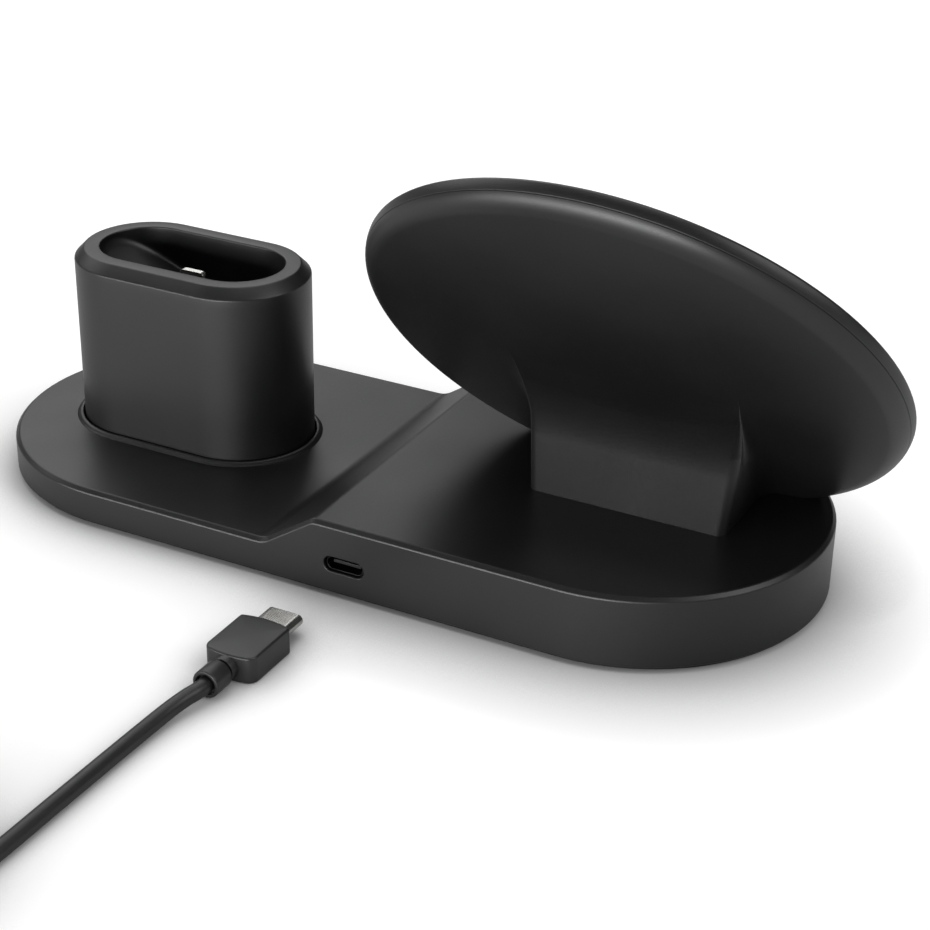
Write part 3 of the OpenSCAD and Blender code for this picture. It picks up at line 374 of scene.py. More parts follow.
def litz(name, centre_mm):
    """Enamelled copper litz, wound flat, in rings 1.3 mm apart round the coil's centre: its colour is
    painted paler and darker from ring to ring, as highlight and shade of the strands catching the light.
    A wave's rings lie 2 pi / 20 of its grain apart, so its grain is 4 mm."""
    material, tree = new_material(name)
    place = add(tree, "ShaderNodeTexCoord").outputs["Object"]
    centred = add(
        tree,
        "ShaderNodeMapping",
        {"Vector": place, "Location": tuple(-x * MM for x in centre_mm)},
    ).outputs["Vector"]
    wire = add(
        tree,
        "ShaderNodeTexWave",
        {"Vector": centred, "Scale": per_mm(4), "Distortion": 0.4},
        wave_type="RINGS",
        rings_direction="SPHERICAL",
    )
    # Painted highlight and shade: the copper's colour goes pale and dark with the rings
    colour = two_tone(tree, wire.outputs["Fac"], linear("#6E3418"), linear("#C6713C"))
    close_material(
        tree,
        {"Base Color": colour, "Roughness": between(tree, wire.outputs["Fac"], 0.45, 0.3)},
        wire.outputs["Fac"],
        0.05,
        {"Metallic": 0.85},
    )
    return material


def sintered(name, dark, pale):
    """Sintered ferrite: matt dark grey, with 0.3 mm pores and a crazed net of cracks 4 mm wide."""
    material, tree = new_material(name)
    place = object_place(tree)
    crack = add(
        tree, "ShaderNodeTexVoronoi", {"Vector": place, "Scale": per_mm(4)}, feature="DISTANCE_TO_EDGE"
    )
    pore = add(tree, "ShaderNodeTexNoise", {"Vector": place, "Scale": per_mm(0.3), "Detail": 2.0})
    whole = between(tree, crack.outputs["Distance"], 0, 1, 0.0, 0.03)
    colour = two_tone(tree, whole, linear(dark), linear(pale))
    height = add(tree, "ShaderNodeMath", {0: pore.outputs["Fac"], 1: whole}, operation="MULTIPLY")
    close_material(
        tree,
        {"Base Color": colour, "Roughness": between(tree, pore.outputs["Fac"], 0.6, 0.75)},
        height.outputs[0],
        0.03,
    )
    return material


def clear_rod(name):
    """Polycarbonate light pipe: water-clear, with faint flow lines that bend the light along it."""
    material, tree = new_material(name)
    flow = add(
        tree,
        "ShaderNodeTexNoise",
        {"Vector": object_place(tree, (1, 0.05, 1)), "Scale": per_mm(0.8), "Detail": 1.0},
    )
    close_material(
        tree,
        {
            "Base Color": two_tone(tree, flow.outputs["Fac"], linear("#E6ECEE"), linear("#F8FBFC")),
            "Roughness": between(tree, flow.outputs["Fac"], 0.08, 0.2),
        },
        flow.outputs["Fac"],
        0.01,
        {"IOR": 1.585, "Transmission Weight": 0.9},
    )
    return material


# ABS from a spark-eroded mould, satin black: a fine even grain breaks the light into wide soft bands.
# The real grain is about 0.1 mm, too fine for the render, so it is drawn at 0.35 mm
SHELL = moulded("satin_black_abs", "#0C0C0D", "#111112", 0.41, 0.35, 0.004, {"IOR": 1.54})
# The same ABS from a plainer tool: the plate underneath looks drier and a little darker
PLATE = moulded("matt_black_abs", "#0D0D0E", "#121213", 0.5, 0.6, 0.012, {"IOR": 1.5})
# Nylon with glass fibre: the clamps and holders look dry, with fibres showing as a coarser grain
NYLON = moulded("filled_black_nylon", "#141415", "#202021", 0.5, 0.8, 0.015, {"IOR": 1.53})
# Silicone rubber: dull, dark grey and slightly velvety where the light grazes it
SILICONE = moulded(
    "charcoal_silicone", "#262627", "#303031", 0.72, 0.9, 0.02, {"IOR": 1.41, "Sheen Weight": 0.15}
)
# Thermoplastic elastomer jacket, drawn through a die: smoother than the mouldings, softly shining
JACKET = moulded("black_tpe_jacket", "#151516", "#1C1C1D", 0.42, 0.5, 0.006, {"IOR": 1.5})
# Overmoulded PVC of the plugs: satin like the charger, and a shade paler
GRIP = moulded("satin_black_pvc", "#1C1C1D", "#232324", 0.42, 0.3, 0.006, {"IOR": 1.53})
# Plated steel inside the socket, coloured dark grey: only its mouth catches a thin line of light
DARK_GREY_STEEL = plated("dark_grey_plated_steel", "#2A2A2C", "#3A3A3C", 0.36, "Y", 0.18, 0.0008)
# Liquid crystal polymer inside the sockets and plugs: smooth and deep black
INSERT = moulded("black_connector_polymer", "#101011", "#161617", 0.3, 0.4, 0.003, {"IOR": 1.6})
# Epoxy of the chips: matt, sandy and nearly black
RESIN = moulded("black_chip_epoxy", "#121213", "#1D1D1E", 0.6, 0.25, 0.01, {"IOR": 1.55})
# Nickel over stainless steel, drawn along the plug: pale, and it glints softly across its streaks
NICKEL_Y = plated("nickel_plated_steel", "#B7B6B2", "#C4C3BF", 0.26, "Y")
# The same plating on the upright tab of the dock
NICKEL_Z = plated("nickel_plated_tab", "#B4B3AF", "#D2D1CD", 0.22, "Z")
# Zinc-plated screw steel: a little bluer and duller than the nickel
ZINC = plated("zinc_plated_steel", "#8E9195", "#B3B6BA", 0.34, "Z", 0.3)
# Hard gold over the contacts: yellow and fairly glossy
GOLD = plated("hard_gold_plate", "#B58A35", "#E0B75E", 0.25, "Z", 0.1)
# Drawn aluminium cans: pale grey, with a dull sheen round them
CAN = plated("drawn_aluminium_can", "#A8AAAC", "#CFD1D3", 0.32, "Z", 0.2)
# Rare-earth magnet under bright nickel: mirror-like with faint clouds
MAGNET = plated("bright_nickel_magnet", "#9B9B9A", "#C4C4C2", 0.16, "X", 0.5)
# The boards: glassy dark green, with paler tracks
BOARD = laminate("green_glass_epoxy")
# The coils: warm copper rings, painted paler and darker as highlight and shade, with a soft metal gleam
LITZ_PHONE = litz("phone_coil_litz", (-56.2, 6.6, 55.5))
LITZ_WATCH = litz("watch_coil_litz", (55.3, -18.5, 29))
# Ferrite sheets and cores: dull dark grey, lightly crazed
FERRITE = sintered("sintered_ferrite", "#202022", "#3A3A3D")
# The status light's window: clear, and nearly invisible against the shell
CLEAR = clear_rod("clear_polycarbonate")


# Finished pieces

# Points of a node's loose triangles closer than this many metres are one, and its triangles that turn
# less than this many degrees from each other are one flat
WELD_REACH = 2e-6
FLAT_TURN = 0.3


def paint(piece, material):
    piece.data.materials.clear()
    piece.data.materials.append(material)
    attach(piece, "root")
    return piece


def crisp(piece, angle=28):
    """Edges that turn more than the angle, in degrees, stay crisp, and the rest is shaded smooth."""
    piece.data.polygons.foreach_set("use_smooth", np.ones(len(piece.data.polygons), bool))
    piece.data.set_sharp_from_angle(angle=math.radians(angle))
    return piece


def eased(piece, width_mm, segments=2, angle=30):
    """Rounds the edges of a moulding, as a mould's cutter does, and evens the shading of its flats."""
    if width_mm:
        bevel = piece.modifiers.new("eased_edges", "BEVEL")
        bevel.width = width_mm * MM
        bevel.segments = segments
        bevel.limit_method = "ANGLE"
        bevel.angle_limit = math.radians(angle)
        bevel.use_clamp_overlap = False
        bevel.miter_outer = "MITER_ARC"
    even = piece.modifiers.new("even_shading", "WEIGHTED_NORMAL")
    even.keep_sharp = True
    return piece


def finished(node_name, material, round_mm=0.0, angle=30):
    """A smooth copy of a node: its loose triangles are joined, flats are made one face each, edges are
    eased, and it stands for the node."""
    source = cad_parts[node_name].data
    points = np.empty(len(source.vertices) * 3)
    source.vertices.foreach_get("co", points)
    corners = np.empty(len(source.loop_triangles) * 3, int)
    source.loop_triangles.foreach_get("vertices", corners)
    piece = mesh_piece(node_name + "_finished", points.reshape(-1, 3), corners.reshape(-1, 3))
    work = bmesh.new()
    work.from_mesh(piece.data)
    bmesh.ops.remove_doubles(work, verts=work.verts, dist=WELD_REACH)
    bmesh.ops.dissolve_limit(
        work,
        angle_limit=math.radians(FLAT_TURN),
        use_dissolve_boundaries=False,
        verts=work.verts,
        edges=work.edges,
    )
    work.to_mesh(piece.data)
    work.free()
    crisp(piece, angle)
    eased(piece, round_mm)
    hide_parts(node_name)
    return paint(piece, material)


# Sizes in millimetres and angles in degrees

HIGH_DECK_Z = 17.3
LOW_DECK_Z = 9.2

# The pad, face up in its own frame: its face is at 0 and its back at -PAD_DEPTH
PAD_PLACE = (-56.2, 6.6, 55.5)
PAD_LEAN = 39.2
PAD_R = 57.9
PAD_DEPTH = 10.2
PAD_RIM_R = 5.0
PAD_EDGE_R = 0.8
PAD_SPLIT = 2.8
PAD_WALL = 1.9
# The crown is the arc that touches the rim's arc and is PAD_DEPTH deep at the middle
CROWN_B = PAD_DEPTH - PAD_EDGE_R
CROWN_R = ((PAD_R - PAD_RIM_R) ** 2 + CROWN_B**2 - PAD_RIM_R**2) / (2 * (CROWN_B - PAD_RIM_R))
CROWN_A = math.degrees(math.atan2(PAD_R - PAD_RIM_R, CROWN_R - CROWN_B))
SPLIT_A = math.degrees(math.asin((PAD_SPLIT - PAD_EDGE_R) / PAD_RIM_R))
# The break at the parting edge: how far in it goes, and how far round the rim it starts
BREAK_IN = 0.16
BREAK_A = 1.8

# The neck widens by its flare and moves away from the dock by its lean for each mm of height
NECK_WID = 44.6
NECK_FLARE = 0.065
NECK_LEAN = 0.035
NECK_BACK_Y = 7.5
NECK_CORNER_R = 2.2
NECK_HOLLOW_W = 3.6
NECK_HOLLOW_R = 5.0
NECK_UPRIGHT = 13.2
NECK_BEND_R = 30.0
NECK_TURN = PAD_LEAN - 5
NECK_TOP_Z = 57.0
# Within this reach the neck's back and the dome run into each other
NECK_MEET = 1.6

DOCK_X = 55.3
DOCK_FOOT_Z = 5.2
DOCK_TOP_Z = 51.0
DOCK_R = 16.8
DOCK_HALF = 12.0
DOCK_BEVEL = 2.3
DOCK_EASE = 0.35
CUP_R = 10.9
CUP_DEPTH = 11.5
CUP_END_DEPTH = 2.0
CUP_FILLET = 1.2
PUCK_R = 15.5
PUCK_BORE_R = 13.8
PUCK_Z = 29.0
PUCK_FRONT_Y = -21.4

# The small plug's grip and the bend sleeve behind it, whose round bore the cable leaves
PLUG_X = -3.8
PLUG_Y = 63.6
PLUG_Z = 3.05
GRIP_W = 11.6
GRIP_L = 15.2
GRIP_H = 6.1
GRIP_BOW = 0.9
GRIP_CROWN = 0.18
GRIP_EASE = 0.5
GRIP_CABLE_CORNER_R = 2.2
GRIP_PLUG_CORNER_R = 0.7
RELIEF_L = 7.4


def arc(centre, radius, start, end, steps):
    """Points centre + radius (cos a, sin a), with a from start to end in degrees."""
    a = np.radians(np.linspace(start, end, steps + 1))
    return np.stack([centre[0] + radius * np.cos(a), centre[1] + radius * np.sin(a)], 1)


def turned(profile, columns=160):
    """A profile of (radius, height) carried round the Z axis: (r cos a, r sin a, h)."""
    a = np.linspace(0, 2 * np.pi, columns, endpoint=False)
    r, h = profile[:, :1], profile[:, 1:]
    points = np.stack([r * np.cos(a), r * np.sin(a), h + 0 * a], -1)
    return points.reshape(-1, 3), grid_faces(len(profile), columns)


def in_pad(points):
    """From the pad's own frame, face up, to its place: turned by 90 degrees less the lean about X."""
    t = math.radians(90 - PAD_LEAN)
    x, y, z = points.T
    deep = y * math.cos(t) - z * math.sin(t)
    high = y * math.sin(t) + z * math.cos(t)
    return np.stack([x, deep, high], 1) + np.array(PAD_PLACE)


def closed_up(piece, reach=0.0005):
    """Joins points within the reach, in mm, at poles and seams, and points every face outwards."""
    work = bmesh.new()
    work.from_mesh(piece.data)
    bmesh.ops.remove_doubles(work, verts=work.verts, dist=reach * MM)
    bmesh.ops.dissolve_degenerate(work, dist=1e-8, edges=work.edges)
    bmesh.ops.recalc_face_normals(work, faces=work.faces)
    work.to_mesh(piece.data)
    work.free()
    return piece


def cut_flat(piece, z_mm):
    """Cuts off what is below a level and closes the cut."""
    work = bmesh.new()
    work.from_mesh(piece.data)
    cut = bmesh.ops.bisect_plane(
        work,
        geom=work.verts[:] + work.edges[:] + work.faces[:],
        plane_co=(0, 0, z_mm * MM),
        plane_no=(0, 0, 1),
        clear_inner=True,
    )
    edges = [e for e in cut["geom_cut"] if isinstance(e, bmesh.types.BMEdge)]
    bmesh.ops.holes_fill(work, edges=edges)
    work.to_mesh(piece.data)
    work.free()
    return piece


def pad_back_piece():
    """The pad's back, a crown arc that runs into a rim arc, with its inside a wall's thickness away,
    turned about the pad's axis. The break at the parting edge shows as the fine line beside the front
    cover."""
    rim = (PAD_R - PAD_RIM_R, -PAD_EDGE_R)
    crown = (0, CROWN_R - PAD_DEPTH)
    edge_r = PAD_R - PAD_RIM_R * (1 - math.cos(math.radians(SPLIT_A)))
    outside = np.vstack(
        [
            [[edge_r - BREAK_IN, -PAD_SPLIT]],
            arc(rim, PAD_RIM_R, -(SPLIT_A + BREAK_A), CROWN_A - 90, 26),
            arc(crown, CROWN_R, CROWN_A - 90, -90, 60)[1:],
        ]
    )
    inner_split = math.degrees(math.asin((PAD_SPLIT - PAD_EDGE_R) / (PAD_RIM_R - PAD_WALL)))
    inside = np.vstack(
        [
            arc(crown, CROWN_R - PAD_WALL, -90, CROWN_A - 90, 24),
            arc(rim, PAD_RIM_R - PAD_WALL, CROWN_A - 90, -inner_split, 8)[1:],
        ]
    )
    points, faces = turned(np.vstack([outside, inside, outside[:1]]))
    return mesh_piece("pad_back", in_pad(points) * MM, faces)


def dome_y(x, z):
    """Where the crown's sphere lies behind any x and z."""
    axis = np.array([0, -math.cos(math.radians(PAD_LEAN)), math.sin(math.radians(PAD_LEAN))])
    c = np.array(PAD_PLACE) + (CROWN_R - PAD_DEPTH) * axis
    return c[1] + np.sqrt(CROWN_R**2 - (x - c[0]) ** 2 - (z - c[2]) ** 2)


def neck_back(z):
    """The neck's back: upright, then an arc that bends it forward, then straight."""
    turn = math.radians(NECK_TURN)
    up = np.maximum(0, z - HIGH_DECK_Z - NECK_UPRIGHT)
    a = np.minimum(turn, np.arcsin(np.minimum(1, up / NECK_BEND_R)))
    rest = up - NECK_BEND_R * np.sin(a)
    return NECK_BACK_Y + NECK_BEND_R * (1 - np.cos(a)) + rest * np.tan(a)


def rounded_up(height, reach):
    """A smooth max(height, 0): inside the reach it is (height + reach)^2 / (4 reach)."""
    inner = (height + reach) ** 2 / (4 * reach)
    return np.where(height > reach, height, np.where(height < -reach, 0, inner))


def neck_half(z, side):
    """One half of the rings at heights z, side 1 towards the dock and -1 away from it: the root in the
    dome, a hollow arc that leaves the dome at its own slope, the flat side, a round corner and the flat
    back as far as the middle. The back is the smooth greater of its own line and the dome, and over its
    last 11 mm it draws back and fades out, so that no edge is left at the top."""
    middle = PAD_PLACE[0] - NECK_LEAN * (z - HIGH_DECK_Z)
    w = NECK_WID / 2 + NECK_FLARE * (z - HIGH_DECK_Z)

    def dome(out):
        return dome_y(middle + side * out, z)

    back = neck_back(z) - 0.06 * np.maximum(0, z - (NECK_TOP_Z - 11)) ** 1.5
    stay = eased_step((NECK_TOP_Z - z) / 10)
    deep = np.maximum(0.02, stay * rounded_up(back - dome(w), NECK_MEET))
    hollow_w = NECK_HOLLOW_W * np.clip((NECK_TOP_Z - z) / 9, 0.1, 1) ** 0.5
    hollow_d = np.minimum(NECK_HOLLOW_R, 0.6 * deep)
    corner_r = np.minimum(NECK_CORNER_R, 0.35 * deep)

    root_x = w + hollow_w + np.array([[2.0, 1.0]])
    root_y = dome(root_x) - np.array([[0.7, 0.15]])
    a = np.radians(np.linspace(270, 180, 15))[None, :]
    hollow_x = w + hollow_w * (1 + np.cos(a))
    hollow_y = dome(hollow_x) + hollow_d * (1 + np.sin(a))
    back_y = dome(w) + deep
    b = np.radians(np.linspace(0, 90, 11))[None, :]
    corner_x = w - corner_r * (1 - np.cos(b))
    corner_y = back_y - corner_r * (1 - np.sin(b))
    flat_x = (w - corner_r) * np.linspace(1, 0, 13)[None, 1:]
    merged = dome(flat_x) + stay * rounded_up(back - dome(flat_x), NECK_MEET)
    blend = eased_step((w - corner_r - flat_x) / 6)
    flat_y = back_y * (1 - blend) + merged * blend
    out = np.hstack([root_x, hollow_x, corner_x, flat_x])
    return middle + side * out, np.hstack([root_y, hollow_y, corner_y, flat_y])


def neck_piece():
    """Rings at each height z, from the dome round the neck's back to the dome again, as neck_half draws
    them. The ring's inner line lies 1.2 mm inside the dome, and the top sinks 0.06 mm under it."""
    foot = HIGH_DECK_Z - 0.5
    z = np.concatenate([[foot], np.linspace(HIGH_DECK_Z, NECK_TOP_Z, 100)])[:, None]
    dock_x, dock_y = neck_half(z, 1)
    far_x, far_y = neck_half(z, -1)
    x = np.hstack([dock_x, far_x[:, -2::-1]])
    y = np.hstack([dock_y, far_y[:, -2::-1]])
    sink = 0.06 * np.clip((z - (NECK_TOP_Z - 4)) / 3, 0, 1)
    outer = np.stack([x, y - sink, z + 0 * x], -1)
    rows, columns = outer.shape[:2]
    inner = outer.copy()
    inner[..., 1] = dome_y(inner[..., 0], inner[..., 2]) - 1.2
    around = np.concatenate([outer, inner[:, ::-1]], 1)
    n = 2 * columns
    i = np.arange(columns - 1)
    bottom = np.stack([i, i + 1, n - 2 - i, n - 1 - i], 1)
    top = bottom + (rows - 1) * n
    return mesh_piece("pad_neck", around.reshape(-1, 3) * MM, grid_faces(rows, n), bottom, top)


def dock_ring_places(straight=24, round_steps=28):
    """Directions round an obround: the end it belongs to along X, and the unit vector out of it."""
    a = np.radians(np.linspace(-90, 90, round_steps + 1))
    s = np.linspace(1, -1, straight + 1)[1:-1]
    along = np.concatenate([np.ones(len(a)), s, -np.ones(len(a)), -s])
    out_x = np.concatenate([np.cos(a), 0 * s, -np.cos(a), 0 * s])
    out_y = np.concatenate([np.sin(a), 0 * s + 1, -np.sin(a), 0 * s - 1])
    return along, out_x, out_y


def cup_floor(x):
    """The cup's dished floor: an arc along X that is CUP_DEPTH down at the middle and CUP_END_DEPTH down
    at the mouth's ends. A chord of half length c and sagitta d has the radius (c^2 + d^2) / 2 d."""
    dish = CUP_DEPTH - CUP_END_DEPTH
    half = DOCK_HALF + CUP_R
    floor_r = (half**2 + dish**2) / (2 * dish)
    across = np.minimum(np.abs(x), half)
    return DOCK_TOP_Z - CUP_DEPTH + floor_r - np.sqrt(floor_r**2 - across**2)


def dock_piece():
    """A profile of (radius, height) carried round an obround: out by r along each end's direction. Below
    the cup's lip each line goes straight down, round a fillet and in along the dished floor."""
    bevel_z = DOCK_TOP_Z - DOCK_BEVEL
    ease = DOCK_EASE
    outer = np.vstack(
        [
            [[0, DOCK_FOOT_Z], [DOCK_R - 2.2, DOCK_FOOT_Z]],
            [[DOCK_R - 0.3, DOCK_FOOT_Z], [DOCK_R, DOCK_FOOT_Z + 0.3]],
            [[DOCK_R, z] for z in np.linspace(10, bevel_z - 2, 8)],
            arc((DOCK_R - ease * 2, bevel_z - ease * 0.83), ease * 2, 0, 45, 4),
            arc((DOCK_R - DOCK_BEVEL - ease * 0.83, DOCK_TOP_Z - ease * 2), ease * 2, 45, 90, 4),
            [[CUP_R + ease + 1.2, DOCK_TOP_Z]],
            arc((CUP_R + ease, DOCK_TOP_Z - ease), ease, 90, 180, 5),
        ]
    )
    along, out_x, out_y = dock_ring_places()
    lip_z = DOCK_TOP_Z - ease
    wall_foot = cup_floor(DOCK_HALF * along + CUP_R * out_x) + CUP_FILLET
    down = np.linspace(0, 1, 7)[1:, None]
    b = np.radians(np.linspace(0, 90, 7))[1:, None]
    fillet_r = CUP_R - CUP_FILLET * (1 - np.cos(b))
    floor_r = np.linspace(CUP_R - CUP_FILLET, 0, 9)[1:, None]
    r = np.vstack([outer[:, :1], CUP_R + 0 * down, fillet_r, floor_r])
    x = DOCK_HALF * along + r * out_x
    z = np.vstack(
        [
            outer[:, 1:] + 0 * along,
            lip_z + (wall_foot - lip_z) * down,
            cup_floor(DOCK_HALF * along + fillet_r * out_x) + CUP_FILLET * (1 - np.sin(b)),
            cup_floor(DOCK_HALF * along + floor_r * out_x),
        ]
    )
    points = np.stack([x + DOCK_X, r * out_y, z], -1)
    return mesh_piece("dock_body", points.reshape(-1, 3) * MM, grid_faces(*x.shape))


def puck_housing():
    """The watch puck's ring on the dock's front: its profile turned about an axis along -Y."""
    profile = np.vstack(
        [
            [[PUCK_BORE_R, 16.9], [PUCK_R, 16.0]],
            arc((PUCK_R - 0.6, -PUCK_FRONT_Y - 0.6), 0.6, 0, 90, 6),
            arc((PUCK_BORE_R + 0.3, -PUCK_FRONT_Y - 0.3), 0.3, 90, 180, 4),
        ]
    )
    points, faces = turned(np.vstack([profile, profile[:1]]), 96)
    x, y, z = points.T
    placed = np.stack([x + DOCK_X, -z, y + PUCK_Z], 1)
    return mesh_piece("puck_ring", placed * MM, faces)


def dock_lip_piece():
    """The raised lip round the dock's foot: a low rounded ridge carried round the dock's obround, at a
    distance from the dock's side and a height above the low deck."""
    ridge = [
        (0.35, -0.5), (0.4, 0.6), (0.46, 0.74), (0.6, 0.82), (0.85, 0.84), (1.1, 0.78), (1.32, 0.62),
        (1.5, 0.36), (1.66, 0.14), (1.9, 0.02), (1.95, -0.5),
    ]
    ridge = np.array(ridge + ridge[:1])
    along, out_x, out_y = dock_ring_places()
    r = DOCK_R + ridge[:, :1]
    x = DOCK_X + DOCK_HALF * along + r * out_x
    points = np.stack([x, r * out_y, LOW_DECK_Z + ridge[:, 1:] + 0 * x], -1)
    return mesh_piece("dock_lip", points.reshape(-1, 3) * MM, grid_faces(*x.shape))


def plug_end(inset, corner_r):
    """One end of the plug's grip in plan: a bowed arc that meets both sides in corner arcs tangent to
    it. Insetting keeps the arcs' centres and shortens their radii."""
    half_w, half_l = GRIP_W / 2, GRIP_L / 2
    bow_r = (half_w**2 + GRIP_BOW**2) / (2 * GRIP_BOW)
    bow_y = half_l - bow_r
    corner_x = half_w - corner_r
    corner_y = bow_y + math.sqrt((bow_r - corner_r) ** 2 - corner_x**2)
    meet = math.degrees(math.atan2(corner_y - bow_y, corner_x))
    return np.vstack(
        [
            arc((corner_x, corner_y), corner_r - inset, 0, meet, 10),
            arc((0, bow_y), bow_r - inset, meet, 180 - meet, 16)[1:-1],
            arc((-corner_x, corner_y), corner_r - inset, 180 - meet, 180, 10),
        ]
    )


def plug_grip_piece():
    """The small plug's grip: its plan is carried up with rounded edges, then drawn in to a slight crown,
    whose height falls by the square of the distance from the middle."""
    a = np.radians(np.linspace(-90, 0, 6))
    insets = GRIP_EASE * (1 - np.cos(a))
    low_heights = GRIP_EASE * (1 + np.sin(a))
    insets = np.concatenate([insets, insets[::-1]])
    heights = np.concatenate([low_heights, (GRIP_H - GRIP_CROWN - low_heights)[::-1]])
    rings = []
    for inset, height in zip(insets, heights):
        cable_end = plug_end(inset, GRIP_CABLE_CORNER_R)
        plan = np.vstack([cable_end, -plug_end(inset, GRIP_PLUG_CORNER_R)])
        rings.append(np.column_stack([plan, np.full(len(plan), height)]))
    low, high = rings[0], rings[-1]
    for share in (0.85, 0.7, 0.55, 0.4, 0.2, 0.0):
        drawn = high * [share, share, 0]
        drawn[:, 2] = GRIP_H - GRIP_CROWN * share**2
        rings.append(drawn)
    for share in (0.5, 0.0):
        rings.insert(0, low * [share, share, 1])
    points = np.array(rings) + [PLUG_X, PLUG_Y + GRIP_L / 2, 0]
    return mesh_piece("plug_grip", points.reshape(-1, 3) * MM, grid_faces(len(rings), len(low)))


def plug_sleeve_piece():
    """The bend sleeve behind the grip: a collar, a groove and a sleeve turned about the cable's line.
    The sleeve's end is bored out a little round the cable."""
    bore_z = RELIEF_L - 1.1
    profile = np.vstack(
        [
            [[0, -0.6], [2.6, -0.6], [2.6, 1.5]],
            arc((2.4, 1.5), 0.2, 0, 90, 3)[1:],
            [[2.15, 1.8], [2.1, 2.1], [2.15, 2.35]],
            arc((2.7, 2.65), 0.25, -90, 0, 4),
            arc((2.55, RELIEF_L - 0.4), 0.4, 0, 90, 6),
            arc((2.3, RELIEF_L - 0.1), 0.1, 90, 180, 3),
            [[2.2, bore_z], [CORD_D / 2, bore_z], [CORD_D / 2, RELIEF_L], [0, RELIEF_L]],
        ]
    )
    points, faces = turned(profile, 48)
    x, y, z = points.T
    placed = np.stack([PLUG_X + x, PLUG_Y + GRIP_L + z, PLUG_Z + y], 1)
    return mesh_piece("plug_sleeve", placed * MM, faces)


def coil_tie():
    """A soft strap round the coil's section: a rounded square loop carried along X. Its point at angle a
    lies (|cos a|^0.35, |sin a|^0.35) of the loop's half width from its middle, and the strap is 0.6 mm
    thick and 9 mm wide with eased edges."""
    centre_y, centre_z = COIL_CENTRE[1] - 20.4, 5.1
    a = np.linspace(0, 2 * np.pi, 64, endpoint=False)
    c, s = np.cos(a), np.sin(a)
    out_y, out_z = np.sign(c) * np.abs(c) ** 0.35, np.sign(s) * np.abs(s) ** 0.35
    section = [(5.15, 4.2), (5.35, 4.5), (5.75, 4.5), (5.75, -4.5), (5.35, -4.5), (5.15, -4.2)]
    rings = []
    for half, wide in section + section[:1]:
        x = np.full(len(a), COIL_CENTRE[0] + wide)
        height = np.maximum(centre_z + half * out_z, 0.02 * (half - centre_z))
        rings.append(np.stack([x, centre_y + half * out_y, height], 1))
    points = np.array(rings)
    return mesh_piece("coil_tie", points.reshape(-1, 3) * MM, grid_faces(len(points), len(a)))


paint(cable, JACKET)

pad_back = cut_flat(closed_up(pad_back_piece()), HIGH_DECK_Z)
paint(crisp(pad_back, 25), SHELL)
pad_neck = closed_up(neck_piece())
paint(crisp(pad_neck, 40), SHELL)
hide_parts("pad_rear_shell")
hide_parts("pad_rear_shell")

dock_body = closed_up(dock_piece(), 0.002)
paint(crisp(dock_body, 50), SHELL)
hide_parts("dock_shell")
puck_ring = closed_up(puck_housing())
paint(crisp(puck_ring, 40), SHELL)
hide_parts("dock_shell")

dock_lip = closed_up(dock_lip_piece())
paint(crisp(dock_lip, 60), SHELL)

plug_grip = closed_up(plug_grip_piece())
paint(crisp(plug_grip, 50), GRIP)
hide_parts("cable_plug_grip")
plug_sleeve = closed_up(plug_sleeve_piece())
paint(crisp(plug_sleeve, 50), GRIP)
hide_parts("cable_relief")

tie = closed_up(coil_tie())
paint(crisp(tie, 40), SILICONE)

# Each other node, with the finish that it gets, the record's slot and how far its edges are eased in mm
FINISHES = [
    ("base_cover", SHELL, "shell_plastic", 0.2),
    ("base_plate", PLATE, "plate_plastic", 0.12),
    ("grip_mat", SILICONE, "grip_rubber", 0.1),
    ("pad_front_cover", SHELL, "shell_plastic", 0.12),
    ("grip_ring", SILICONE, "grip_rubber", 0.12),
    ("ledge_strip", SILICONE, "grip_rubber", 0.12),
    ("socket_shell", DARK_GREY_STEEL, "plated_steel", 0.08),
    ("socket_tongue", INSERT, "inner_plastic", 0.06),
    ("light_pipe", CLEAR, "clear_plastic", 0.1),
    ("earbud_plug", NICKEL_Z, "plated_steel", 0.05),
    ("plug_holder", NYLON, "inner_plastic", 0.12),
    ("puck_face", NYLON, "inner_plastic", 0.0),
    ("cable_plug_shell", NICKEL_Y, "plated_steel", 0.08),
    ("cable_plug_contacts", INSERT, "inner_plastic", 0.0),
    ("usba_relief", GRIP, "cable_moulding", 0.15),
    ("usba_grip", GRIP, "cable_moulding", 0.4),
    ("usba_shell", NICKEL_Y, "plated_steel", 0.08),
    ("usba_insert", INSERT, "inner_plastic", 0.1),
    ("plug_contacts", GOLD, "contact_gold", 0.0),
    ("plate_screws", ZINC, "plated_steel", 0.0),
    ("board_screws", ZINC, "plated_steel", 0.0),
    ("retainer_screws", ZINC, "plated_steel", 0.0),
    ("neck_screws", ZINC, "plated_steel", 0.0),
    ("dock_screws", ZINC, "plated_steel", 0.0),
    ("dock_board_screws", ZINC, "plated_steel", 0.0),
    ("main_board", BOARD, "circuit_board", 0.0),
    ("dock_board", BOARD, "circuit_board", 0.0),
    ("board_chips", RESIN, "chip_resin", 0.08),
    ("board_inductors", FERRITE, "ferrite", 0.2),
    ("board_capacitors", CAN, "capacitor_can", 0.2),
    ("phone_coil", LITZ_PHONE, "coil_wire", 0.0),
    ("puck_coil", LITZ_WATCH, "coil_wire", 0.0),
    ("ferrite_sheet", FERRITE, "ferrite", 0.1),
    ("puck_ferrite", FERRITE, "ferrite", 0.1),
    ("coil_retainer", NYLON, "inner_plastic", 0.1),
    ("puck_magnet", MAGNET, "magnet_plating", 0.3),
]
for node_name, material, slot_name, round_mm in FINISHES:
    finished(node_name, material, round_mm)


# White floor, which the camera, glass and metal see near white, keeping the charger's shadow from the
# lamps and a contact shadow painted into its glow

FLOOR_GREY = (0.45, 0.45, 0.45, 1)
FLOOR_HALF = 15
# How bright the room's own light on the floor is, to the camera and through glass, and to a mirror
ROOM_GLOW = 0.76
MIRRORED_GLOW = 0.36
